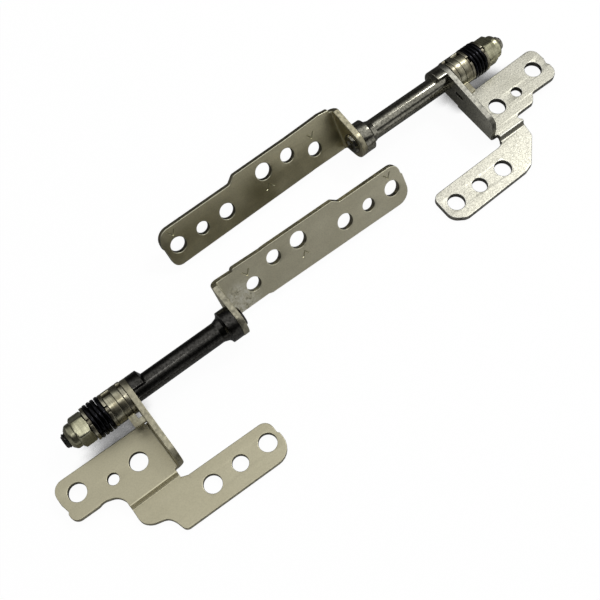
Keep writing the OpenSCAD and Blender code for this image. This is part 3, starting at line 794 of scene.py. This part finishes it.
# %% Display arm outlines
BEND_END = BEND_OUT
ARM_LEN = 44.0
ARM_LOW = 2.5
ARM_WIDE = 7.0
ARM_NARROW = 5.6
EAR_LOW = ARM_LOW - 0.25
EAR_HIGH = ARM_WIDE - 0.4
EAR_HEAD_R = 3.3
EAR_SHOULDER = 0.5


def arm_corners(side):
    """The arm from the bend's low corner, round the tip, to the bend's high corner."""
    if side == "left":
        return [(BEND_END, -EAR_LOW, 0), (9.2, -EAR_LOW, 0.6), (10, -ARM_LOW - 0.05, 0.6),
                (ARM_LEN, -ARM_LOW - 0.7, 2.9), (ARM_LEN, ARM_NARROW - 3, 0.4),
                (ARM_LEN - 0.3, ARM_NARROW - 2.6, 0.3), (ARM_LEN - 0.3, ARM_NARROW - 0.1, 1.9),
                (29.8, ARM_NARROW, 0.8), (28.4, ARM_WIDE - 0.3, 0.8),
                (12.4, ARM_WIDE - 0.12, 0.5), (11.6, ARM_WIDE - 0.2, 0.5),
                (5, ARM_WIDE + 0.03, 0.8)]
    return [(BEND_END, -EAR_LOW, 0), (9.2, -EAR_LOW, 0.6), (10, -ARM_LOW + 0.2, 0.6),
            (ARM_LEN - 0.6, -ARM_LOW - 0.5, 1.7), (ARM_LEN - 0.35, 1.6, 0.4),
            (ARM_LEN - 0.1, 2, 0.4), (ARM_LEN - 0.2, ARM_NARROW - 0.2, 2.6),
            (26.4, ARM_NARROW, 0.8), (24.9, ARM_WIDE - 0.15, 0.8), (12, ARM_WIDE + 0.05, 1),
            (6.6, ARM_WIDE + 0.25, 1.5), (4, ARM_WIDE + 0.37, 1),
            (BEND_END, ARM_WIDE + 0.1, 0.2)]


def ear_outline():
    """The ear in the flat blank, from its high corner round the head to its low corner."""
    foot = -ARM_BACK + BEND_IN
    high = (EAR_HIGH, foot)
    low = (-EAR_LOW, foot)
    shoulder = (EAR_HIGH, foot + EAR_SHOULDER)
    start = touch_angle(shoulder, EAR_HEAD_R, 1)
    end = touch_angle(low, EAR_HEAD_R, -1)
    if end < start:
        end += 2 * math.pi
    head = arc(EAR_HEAD_R, start, end)
    across = np.vstack([[high, shoulder], head, [low]])
    ear = np.column_stack([BEND_END - BEND_LEN - (across[:, 1] - foot), across[:, 0]])
    return np.vstack([[[BEND_END, EAR_HIGH]], ear])


print("points of an ear's outline:", len(ear_outline()))

# %% Display arms
ARM_HOLES = [(7.5, 1.55, 3.0), (13.3, 3.9, 3.0), (19.1, 3.9, 3.5),
             (29.2, 1.15, 3.3), (35.0, 1.15, 2.7), (40.8, 1.15, 3.3)]
ARM_STAMPS = [(7.2, 3.85, 1), (19.25, 1.35, -1), (40.8, 3.35, 1)]
TAIL_HOLE_D = TAIL_D + 0.1


def arm_map(co):
    """Folds the ear: below the bend line, distance becomes an angle and then height."""
    x, y, h = co.T
    along = BEND_END - x
    turn = np.clip(along / BEND_LEN, 0, 1) * math.pi / 2
    rise = np.maximum(along - BEND_LEN, 0)
    bent = along > 0
    fx = BEND_END - (BEND_IN - h) * np.sin(turn)
    fz = -ARM_BACK + BEND_IN - (BEND_IN - h) * np.cos(turn) + rise
    return np.column_stack([EAR_X + np.where(bent, fx, x), y, np.where(bent, fz, -ARM_BACK + h)])


def display_arm(side):
    """The whole stamped display arm as one folded surface."""
    outline = np.vstack([rounded(arm_corners(side)), ear_outline()])
    holes = [circle(x, y, d) for x, y, d in ARM_HOLES]
    holes.append(circle(BEND_END - BEND_LEN - ARM_BACK + BEND_IN, 0, TAIL_HOLE_D))
    bm = sheet_blank(outline, holes, [vee(*place) for place in ARM_STAMPS])
    cut_across(bm, 0, BEND_END - BEND_LEN * np.linspace(0, 1, BEND_CUTS))
    co, faces, worn = bmesh_arrays(bm)
    add_piece("display_bracket", side, (arm_map(co), faces), finish[side + "_arm"],
              worn=worn)


for side in SIDES:
    display_arm(side)

# %% [markdown]
# Turned pieces. Shaft, rings and nut come off a lathe, and a screw modifier could spin their
# profiles. A grid of our own does more: flats, notches, a hexagon and a thread all fit it,
# because each is only a limit on the radius that depends on the angle.

# %% Turned surfaces
AROUND = 96
FINE_AROUND = 240


def lathe(profile, limit=None, closed=True, around=AROUND):
    """Grid of angle by profile step. Radius is the profile's, cut down by limit(angle, x,
    radius) where one is given. A closed profile makes a ring; an open one ends in poles."""
    p = np.array(profile, float)
    t = np.linspace(0, 2 * math.pi, around, endpoint=False)
    x = np.repeat(p[:, 0][None, :], around, 0)
    r = np.repeat(p[:, 1][None, :], around, 0)
    angle = np.repeat(t[:, None], len(p), 1)
    if limit:
        r = limit(angle, x, r)
    co = np.stack([x, r * np.cos(angle), r * np.sin(angle)], 2).reshape(-1, 3)
    i = np.arange(around)[:, None]
    j = np.arange(len(p) if closed else len(p) - 1)[None, :]
    n = len(p)
    a = i * n + j
    b = i * n + (j + 1) % n
    c = (i + 1) % around * n + (j + 1) % n
    d = (i + 1) % around * n + j
    faces = np.stack([a, b, c, d], 2).reshape(-1, 4).tolist()
    if not closed:
        for end, step in ((0, 1), (n - 1, -1)):
            ring = [k * n + end for k in range(around)]
            faces.append(ring[::step])
    return co, faces


print("a lathe grid has", AROUND, "or", FINE_AROUND, "steps around")

# %% [markdown]
# The stack. This is the clutch that holds the lid where it is left. From the wall outward come
# friction washer, fixed cam, moving cam, inner plate, four dished springs turn about, outer plate
# and nut. Each keyed ring has two notches, which a lathe profile takes as a limit. The springs
# are drawn nearly flat, 0.76 mm thick with 0.04 mm of dish: the pitch is the solids', and the
# rims are as full as the photograph shows them.

# %% Stack of rings
RING_T = {"friction": 0.85, "fixed": 1.4, "moving": 1.7, "plate": 0.65}
RING_EDGE = 0.12
BORE_EDGE = 0.04
KEYED_BORE = THREAD_D + 0.02
NOTCH_W = 1.2
NOTCH_DEEP = 0.45
NOTCH_BLUR = 0.02
PLATE_NOTCH_TURN = math.radians(50)
SPRINGS = 4
SPRING_D = 6.9
SPRING_T = 0.76
SPRING_DISH = 0.04
SPRING_RIM = 0.3
SPRING_BORE_R = THREAD_D / 2 + 0.12
GRIME_IN = 0.09
GRIME_UNDER = 0.15
GRIME_RUN = 0.35
fixed_x = SHEET + RING_T["friction"]
moving_x = fixed_x + RING_T["fixed"]
inner_plate_x = moving_x + RING_T["moving"]
springs_x = inner_plate_x + RING_T["plate"]
spring_step = SPRING_T + SPRING_DISH
outer_plate_x = springs_x + SPRINGS * spring_step
nut_x = outer_plate_x + RING_T["plate"]


def ring_profile(start, thick, bore):
    """Closed profile of a flat ring with rounded rims, from start outward."""
    return rounded([(-start, bore / 2, BORE_EDGE), (-start, RING_D / 2, RING_EDGE),
                    (-start - thick, RING_D / 2, RING_EDGE),
                    (-start - thick, bore / 2, BORE_EDGE)])


def two_notches(turn):
    """Limit on the radius for notches at both ends of a diameter turned by an angle: where the
    height off that diameter is less than half the notch width, the radius is held below the
    notch floor."""
    def limit(angle, x, r):
        """The profile's radius outside the notches, the floor's inside them."""
        off = np.abs(np.sin(angle - turn)) * RING_D / 2
        deep = 1 / (1 + np.exp(-(NOTCH_W / 2 - off) / NOTCH_BLUR))
        return r * (1 - deep) + np.minimum(r, RING_D / 2 - NOTCH_DEEP) * deep
    return limit


def side_grime(co, start, thick):
    """Wear value of a ring's points: 1 on its flat sides and notch floors, 0 on the rim."""
    from_side = np.minimum(-co[:, 0] - start, start + thick + co[:, 0])
    below_rim = RING_D / 2 - np.hypot(co[:, 1], co[:, 2])
    return np.clip(np.maximum(1 - from_side / GRIME_IN,
                              (below_rim - GRIME_UNDER) / GRIME_RUN), 0, 1)


def notched_ring(side, name, start, kind, turn=0.0, look="ring"):
    """A keyed ring with a notch at each side."""
    thick = RING_T[kind]
    co, faces = lathe(ring_profile(start, thick, KEYED_BORE), two_notches(turn),
                      around=FINE_AROUND)
    add_piece(name, side, (co, faces), finish[look],
              worn=side_grime(co, start, thick))


def dished_spring(side, index):
    """One dished spring: a slanted strip with round rims. The first faces the plate with its
    rim, the next with its bore, and so on in turn."""
    start = springs_x + index * spring_step
    rim = SPRING_DISH * (index % 2)
    bore = SPRING_DISH - rim
    profile = rounded([(-start - bore, SPRING_BORE_R, 0.08),
                       (-start - rim, SPRING_D / 2, SPRING_RIM),
                       (-start - rim - SPRING_T, SPRING_D / 2, SPRING_RIM),
                       (-start - bore - SPRING_T, SPRING_BORE_R, 0.08)])
    add_piece(f"spring_{index + 1}", side, lathe(profile), finish["spring"])


for side in SIDES:
    notched_ring(side, "friction_washer", SHEET, "friction")
    notched_ring(side, "moving_cam", moving_x, "moving", look="cam")
    notched_ring(side, "inner_plate", inner_plate_x, "plate", PLATE_NOTCH_TURN)
    notched_ring(side, "outer_plate", outer_plate_x, "plate", PLATE_NOTCH_TURN)
    for index in range(SPRINGS):
        dished_spring(side, index)

# %% [markdown]
# Fixed cam. A ring with an ear at its front, and on the ear a tongue that sits in the wall's
# slot, so that the cam can't turn with the shaft. Ear and tongue are one strip bent over on the
# real cam. Here each is a straight bar, and the two run into each other and into the ring.

# %% Fixed cams
BAR_EDGE = 0.1
CAM_BORE = THREAD_D + 0.1
TONGUE_GAP = 0.05
TONGUE_LEN = 1.25
TONGUE_LAP = 0.2
EAR_SINK = 0.5


def bar(low, high):
    """A straight bar with rounded long edges: its Y-Z section carried along X, and drawn in at
    both ends."""
    section = rounded([(low[1], low[2], BAR_EDGE), (high[1], low[2], BAR_EDGE),
                       (high[1], high[2], BAR_EDGE), (low[1], high[2], BAR_EDGE)])
    xs = [low[0], low[0] + BAR_EDGE, high[0] - BAR_EDGE, high[0]]
    centre = section.mean(0)
    reach = np.linalg.norm(section - centre, axis=1).max()
    rings = [np.column_stack([np.full(len(section), x), centre + (section - centre)
                              * (1 - inset / reach)])
             for x, inset in zip(xs, (BAR_EDGE, 0, 0, BAR_EDGE))]
    n = len(section)
    faces = [[k * n + i, k * n + (i + 1) % n, (k + 1) * n + (i + 1) % n, (k + 1) * n + i]
             for k in range(len(xs) - 1) for i in range(n)]
    faces.append(list(range(n))[::-1])
    faces.append([(len(xs) - 1) * n + i for i in range(n)])
    return np.vstack(rings), faces


def fixed_cam(side):
    """Ring, ear and tongue as one object. Only the ring carries grime."""
    thick = RING_T["fixed"]
    co, faces = lathe(ring_profile(fixed_x, thick, CAM_BORE))
    grime = side_grime(co, fixed_x, thick)
    half = SLOT_H / 2 - TONGUE_GAP
    front = -SLOT_Y - SLOT_LEN + TONGUE_GAP
    for more_co, more_faces in (
            bar((-fixed_x - thick, front, -half), (-fixed_x, -RING_D / 2 + EAR_SINK, half)),
            bar((-fixed_x - TONGUE_LAP, front, -half), (-SHEET / 3, front + TONGUE_LEN, half))):
        faces = faces + [[i + len(co) for i in f] for f in more_faces]
        co = np.vstack([co, more_co])
    grime = np.append(grime, np.zeros(len(co) - len(grime)))
    add_piece("fixed_cam", side, (co, faces), finish["cam"], worn=grime,
              moves=False)


for side in SIDES:
    fixed_cam(side)

# %% [markdown]
# Shafts. The long body is one turned profile, from the neck in the wall to the swaged head in
# front of the ear. The stop shoulder stands out only over the rear half, and the outer end is a
# thread with two flats, where the radius is the smaller of the thread's and the flats'. The
# tail's two flats are hidden in the ear's hole, so it is left round here.

# %% Shaft bodies
ROD_D = 4.2
COLLAR_D = 6.5
COLLAR_X = EAR_X - 2.3
COLLAR_EDGE = 0.12
FLARE_LEN = 1.4
FLARE_LIP = 0.35
FLARE_R = 2.45
FLARE_LIP_R = 2.85
TAIL_GAP = 0.1
HEAD_R = TAIL_D / 2 + 0.15
HEAD_H = 0.6
HEAD_TAPER = 0.3
DISH_DEEP = 0.3
DISH_R = 1.0
DISH_FLOOR_R = 0.6
TURNED_EDGE = 0.1


def shaft_body(side):
    """Neck, rod, flare, collar, tail and dished swaged head in one profile. The two points on
    the axis only guide the rounding of their neighbours."""
    head_x = EAR_X + SHEET
    end_x = head_x + HEAD_H
    points = [(-SHEET, NECK_D / 2), (0, NECK_D / 2), (0, ROD_D / 2),
              (COLLAR_X - FLARE_LEN, ROD_D / 2), (COLLAR_X - FLARE_LIP, FLARE_R),
              (COLLAR_X, FLARE_LIP_R), (COLLAR_X + COLLAR_EDGE, COLLAR_D / 2),
              (EAR_X, COLLAR_D / 2), (EAR_X, TAIL_D / 2 - TAIL_GAP),
              (head_x, TAIL_D / 2 - TAIL_GAP), (head_x, HEAD_R),
              (end_x, HEAD_R - HEAD_TAPER), (end_x, DISH_R), (end_x - DISH_DEEP, DISH_FLOOR_R)]
    profile = rounded([(-SHEET, 0, 0)] + [(x, r, TURNED_EDGE) for x, r in points]
                      + [(end_x - DISH_DEEP, 0, 0)])
    add_piece("shaft", side, lathe(profile[1:-1], closed=False), finish[side + "_shaft"])


print("a shaft body runs from", -SHEET, "to", round(EAR_X + SHEET + HEAD_H, 2), "mm")

# %% Stop shoulders and threads
LUG_R = 3.2
LUG_LEN = 2.3
LUG_TURN = math.radians(40)
LUG_BLUR = 0.012
LUG_RUN = 0.6
LUG_EDGE = 0.12
UNDER_ROD = 0.05
FOOT_UNDER_ROD = 0.08
CORE_R = 1.0
PITCH = 0.5
THREAD_DEEP = 0.16
THREAD_STEPS = 260
THREAD_HIDDEN = 1.0
THREAD_RUN_IN = 0.5
POINT = 0.35
FLATS = 2.4
NUT_H = 2.75
CROWN_H = 1.65
THREAD_OUT = 0.9
thread_end = nut_x + NUT_H + CROWN_H + THREAD_OUT


def stop_shoulder(side):
    """Half a ring beside the wall: the shoulder's radius over the half that is turned toward
    the rear, and just under the rod's over the other half."""
    def rear_half(angle, x, r):
        """Full radius where the turned cosine is positive, the rod's where it is negative."""
        full = 1 / (1 + np.exp(-np.cos(angle + LUG_TURN) / LUG_BLUR))
        return np.minimum(r, ROD_D / 2 - UNDER_ROD) * (1 - full) + r * full
    foot = LUG_LEN + LUG_RUN
    profile = rounded([(0, CORE_R, 0), (0, LUG_R, LUG_EDGE), (LUG_LEN, LUG_R, LUG_EDGE),
                       (foot, ROD_D / 2 - FOOT_UNDER_ROD, 0), (foot, CORE_R, 0)])
    add_piece("stop_shoulder", side, lathe(profile, rear_half, around=FINE_AROUND),
              finish[side + "_shaft"], stands_for=False)


def threaded_end(side):
    """Radius = the smaller of a sine-crested screw and the two flats. The screw's phase grows
    by one pitch per turn; flats limit the radius to half their distance over the sine."""
    x = np.linspace(-SHEET + 0.01, -thread_end, THREAD_STEPS)
    profile = np.column_stack([x, np.full(len(x), THREAD_D / 2)])

    def screw(angle, x, r):
        """The screw's depth fades in inside the nut, and the tip is drawn in to a point."""
        crest = 0.5 + 0.5 * np.cos(2 * math.pi * x / PITCH - angle)
        on = np.clip((-x - nut_x + THREAD_HIDDEN) / THREAD_RUN_IN, 0, 1)
        tip = np.clip((thread_end + x) / POINT, 0, 1)
        threaded = r - THREAD_DEEP * on * (1 - crest) - POINT * (1 - tip)
        return np.minimum(threaded, FLATS / 2 / np.maximum(np.abs(np.sin(angle)), 1e-3))
    add_piece("threaded_end", side, lathe(profile, screw, closed=False),
              finish[side + "_shaft"], stands_for=False)


for side in SIDES:
    shaft_body(side)
    stop_shoulder(side)
    threaded_end(side)

# %% [markdown]
# Lock nuts. The nut presses the stack together, and its crown is pinched onto the thread so that
# it stays. A hexagon's radius is half the flats over the cosine of the angle from the nearest
# flat's middle, and a cone takes off the corners at both ends.

# %% Lock nuts
NUT_FLATS = 5.5
NUT_FLAT_R = NUT_FLATS / 2
NUT_TURN = {"left": math.radians(-14), "right": math.radians(12)}
NUT_AROUND = 144
INNER_FACE_R = NUT_FLAT_R * 0.97
OUTER_FACE_R = NUT_FLAT_R * 0.95
INNER_CONE = 0.28
OUTER_CONE = 0.42
CORNER_ROUND = 0.006
CORNER_SPREAD = 0.05
CROWN_R = 2.45
CROWN_FOOT_R = CROWN_R + 0.08
CROWN_SLOPE = 0.75
CROWN_STRAIGHT = 0.6


def hexagon_limit(turn):
    """Limit on the radius for a hexagon turned by an angle."""
    def limit(angle, x, r):
        """The smaller of the profile's radius and the hexagon's at that angle."""
        from_flat = np.mod(angle - turn + math.pi / 6, math.pi / 3) - math.pi / 6
        worn = np.exp(-((np.abs(from_flat) - math.pi / 6) / CORNER_SPREAD) ** 2)
        return np.minimum(r, NUT_FLAT_R / np.cos(from_flat) * (1 - CORNER_ROUND * worn))
    return limit


def lock_nut(side):
    """Hexagon with cut corners, then the crown, then the bore."""
    corner = NUT_FLAT_R / math.cos(math.pi / 6)
    bore = THREAD_D / 2 + 0.02
    end = nut_x + NUT_H
    steps = np.linspace(0, 1, 5)
    profile = [(-nut_x, bore)]
    profile += [(-nut_x - INNER_CONE * s, INNER_FACE_R + (corner - INNER_FACE_R) * s)
                for s in steps]
    profile += [(-end + OUTER_CONE * (1 - s), corner - (corner - OUTER_FACE_R) * s)
                for s in steps]
    profile += [(-end, CROWN_FOOT_R)]
    crown = rounded([(-end, CROWN_FOOT_R, 0), (-end - 0.06, CROWN_R, 0.03),
                     (-end - CROWN_H * CROWN_STRAIGHT, CROWN_R, 0.6),
                     (-end - CROWN_H, CROWN_R - CROWN_SLOPE, 0.25), (-end - CROWN_H, bore, 0)])
    profile += [tuple(p) for p in crown[1:]]
    surface = lathe(profile, hexagon_limit(NUT_TURN[side]), around=NUT_AROUND)
    add_piece("lock_nut", side, surface, finish[side + "_nut"])


for side in SIDES:
    lock_nut(side)

# %% [markdown]
# Camera. The photograph is a close-up from above the front edge, with the picture's right side
# turned toward the laptop's rear. The place and direction come from matching hole centres.

# %% Camera
PHOTO_SIDE = 600
FOCAL_PIXELS = 1013.9
SENSOR_MM = 36.0
left_home = shaft_points["left_arm"]
right_home = shaft_points["right_arm"]
camera_place = left_home + np.array([-4.76, -66.14, 172.97])
sight = np.array([0.2083, 0.3297, -0.9208])
image_up = np.array([0.5720, 0.7226, 0.3881])
camera_data = bpy.data.cameras.new("camera")
camera_data.sensor_width = SENSOR_MM
camera_data.lens = SENSOR_MM * FOCAL_PIXELS / PHOTO_SIDE
camera_data.clip_start = 0.01
camera = new_object("camera", camera_data)
back = -sight / np.linalg.norm(sight)
right = np.cross(image_up, back)
right /= np.linalg.norm(right)
up = np.cross(back, right)
turn = Matrix([[*row] for row in np.column_stack([right, up, back])]).to_4x4()
camera.matrix_world = Matrix.Translation(Vector(camera_place * MM)) @ turn
bpy.context.scene.camera = camera
print("camera at", camera_place, "mm, lens", round(camera_data.lens, 2))

# %% [markdown]
# Floor. The sheet is white paper. To the camera it is mostly its own white, so that the page
# stays clean, with a faint shadow close to the steel and an oval of full shade under each clutch.
# To the steel it is a plain surface, lighter in front and dark behind, as a mirror would see it.

# %% Floor
FLOOR_HALF = 1.5
FLOOR_Z = -0.00002
FLOOR_TURNS = 0.03
PAGE_OWN = 0.93
PAGE_WHITE = 1.03
SHADE_PLACE = (7.4, 0.6)
SHADE_SIZE = (0.0103, 0.0066, 1)
SHADE_REACH = 0.0045


def stack_ovals(tree, where):
    """1 under the two clutches, 0 away from them: a ramp of the distance in an oval's own
    stretched coordinates."""
    under = grey(0.0)
    for sign, home in ((1, left_home), (-1, right_home)):
        middle = ((home[0] - sign * SHADE_PLACE[0]) * MM, (home[1] - SHADE_PLACE[1]) * MM, 0)
        place = add(tree, "Mapping", vector_type="TEXTURE")
        feed(tree, place.inputs["Vector"], where)
        feed(tree, place.inputs["Location"], middle)
        feed(tree, place.inputs["Scale"], SHADE_SIZE)
        away = add(tree, "VectorMath", {0: place.outputs["Vector"]}, operation="LENGTH")
        oval = tone(tree, away.outputs["Value"], [(0.6, 1.0), (1.0, 0.0)])
        under = mix(tree, 1.0, under, oval, "ADD")
    return under


def mix_shaders(tree, factor, first, second):
    """Two shaders mixed by a socket or a number."""
    return add(tree, "MixShader", {"Fac": factor, 1: first.outputs[0], 2: second.outputs[0]})


def floor_paper():
    """White to the camera and shaded near the steel; a plain surface to everything else."""
    mat, tree, shader = new_material("floor_paper", metallic=0.0)
    shader.inputs["Roughness"].default_value = 0.9
    shader.inputs["Specular IOR Level"].default_value = 0.0
    where = add(tree, "TexCoord").outputs["Object"]
    split = add(tree, "SeparateXYZ", {0: where})
    rearward = rise_between(tree, split.outputs["Y"], -FLOOR_TURNS, FLOOR_TURNS)
    tree.links.new(tone(tree, rearward, [(0, 0.85), (1, 0.1)]), shader.inputs["Base Color"])
    near = add(tree, "AmbientOcclusion", {"Distance": SHADE_REACH}, samples=16)
    dim = tone(tree, near.outputs["AO"], [(0.33, 0.02), (0.55, 0.13), (0.66, 0.5), (0.77, 1.0)])
    shade = mix(tree, stack_ovals(tree, where), grey(1.0), dim)
    glow = add(tree, "Emission", {"Color": shade, "Strength": PAGE_WHITE})
    paper = add(tree, "BsdfDiffuse", {"Color": shade})
    page = mix_shaders(tree, PAGE_OWN, paper, glow)
    to_camera = add(tree, "LightPath").outputs["Is Camera Ray"]
    both = mix_shaders(tree, to_camera, shader, page)
    tree.links.new(both.outputs[0], tree.nodes["Material Output"].inputs["Surface"])
    return mat


mesh = bpy.data.meshes.new("floor")
mesh.from_pydata([(x * FLOOR_HALF, y * FLOOR_HALF, FLOOR_Z)
                  for x, y in ((-1, -1), (1, -1), (1, 1), (-1, 1))], [], [(0, 1, 2, 3)])
mesh.materials.append(floor_paper())
new_object("floor", mesh)
print("floor", 2 * FLOOR_HALF, "m wide,", len(mesh.polygons), "face")

# %% [markdown]
# Sky. Steel shows what it mirrors. A bright band lies across the sky from right front to left
# rear, dark on both sides of it, and strongest overhead. A low glow at the right front lights
# the faces that look that way. To the camera the sky is plain white.

# %% Sky
BAND_ACROSS = (0.61, 0.79, 0.0)
BAND = [(-1.0, 0.02), (-0.44, 0.03), (-0.34, 0.1), (-0.28, 0.66), (0.30, 0.72), (0.46, 0.9),
        (0.55, 0.68), (0.62, 0.3), (0.72, 0.1), (1.0, 0.02)]
RISE = [(-1.0, 0.12), (0.0, 0.2), (0.25, 0.5), (0.6, 1.0), (1.0, 1.0)]
GLOW = [(-1.0, 0.5), (0.1, 0.52), (0.42, 0.0), (1.0, 0.0)]
FRONT = [(-1.0, 1.0), (-0.5, 1.0), (0.0, 0.15), (1.0, 0.1)]
TO_RIGHT = [(-1.0, 0.06), (0.0, 0.06), (0.09, 0.25), (0.15, 0.95), (0.35, 1.12), (1.0, 1.12)]


def sky_tone(tree, value, stops):
    """Ramp of a number over -1..1 through (place, grey value) stops over -1..1."""
    return tone(tree, rise_between(tree, value, -1, 1),
                [((place + 1) / 2, level) for place, level in stops])


world = bpy.data.worlds.new("studio")
world.use_nodes = True
bpy.context.scene.world = world
tree = world.node_tree
direction = add(tree, "TexCoord").outputs["Generated"]
across_band = add(tree, "VectorMath", {0: direction, 1: BAND_ACROSS}, operation="DOT_PRODUCT")
split = add(tree, "SeparateXYZ", {0: direction})
overhead = times(tree, sky_tone(tree, across_band.outputs["Value"], BAND),
                 sky_tone(tree, split.outputs["Z"], RISE))
front = times(tree, sky_tone(tree, split.outputs["Y"], FRONT),
              sky_tone(tree, split.outputs["X"], TO_RIGHT))
glow = times(tree, sky_tone(tree, split.outputs["Z"], GLOW), front)
to_camera = add(tree, "LightPath").outputs["Is Camera Ray"]
lit = mix(tree, 1.0, overhead, glow, "ADD")
sky = tree.nodes["Background"]
tree.links.new(mix(tree, to_camera, lit, grey(1.0)), sky.inputs["Color"])
sky.inputs["Strength"].default_value = 1.0
print("sky:", len(tree.nodes), "nodes")

# %% [markdown]
# Lamps. Two small soft lamps stand over the clutches, where the photograph's nuts and rings have
# their bright spots.

# %% Lamps
LAMP_AWAY = 400
STACK_MIDDLE = np.array([6.0, 0, 0])


def soft_lamp(name, target, way, size, power):
    """Square area lamp that faces a target point (mm) from a direction."""
    data = bpy.data.lights.new(name, "AREA")
    data.size = size
    data.energy = power
    obj = new_object(name, data)
    place = Vector(target + np.array(way) / np.linalg.norm(way) * LAMP_AWAY) * MM
    obj.location = place
    obj.rotation_euler = (Vector(target) * MM - place).to_track_quat("-Z", "Y").to_euler()
    print(name, "at", [round(v, 3) for v in place], "m")


soft_lamp("left_key", left_home - STACK_MIDDLE, (0.0, -0.113, 0.994), size=0.05, power=0.08)
soft_lamp("right_key", right_home + STACK_MIDDLE, (0.46, 0.05, 0.88), size=0.07, power=0.25)

# %% [markdown]
# View. The colours are shown as they are computed.

# %% View settings
bpy.context.scene.view_settings.view_transform = "Standard"
print("pieces made:", len(made), "faces:", sum(count for _, count in made))
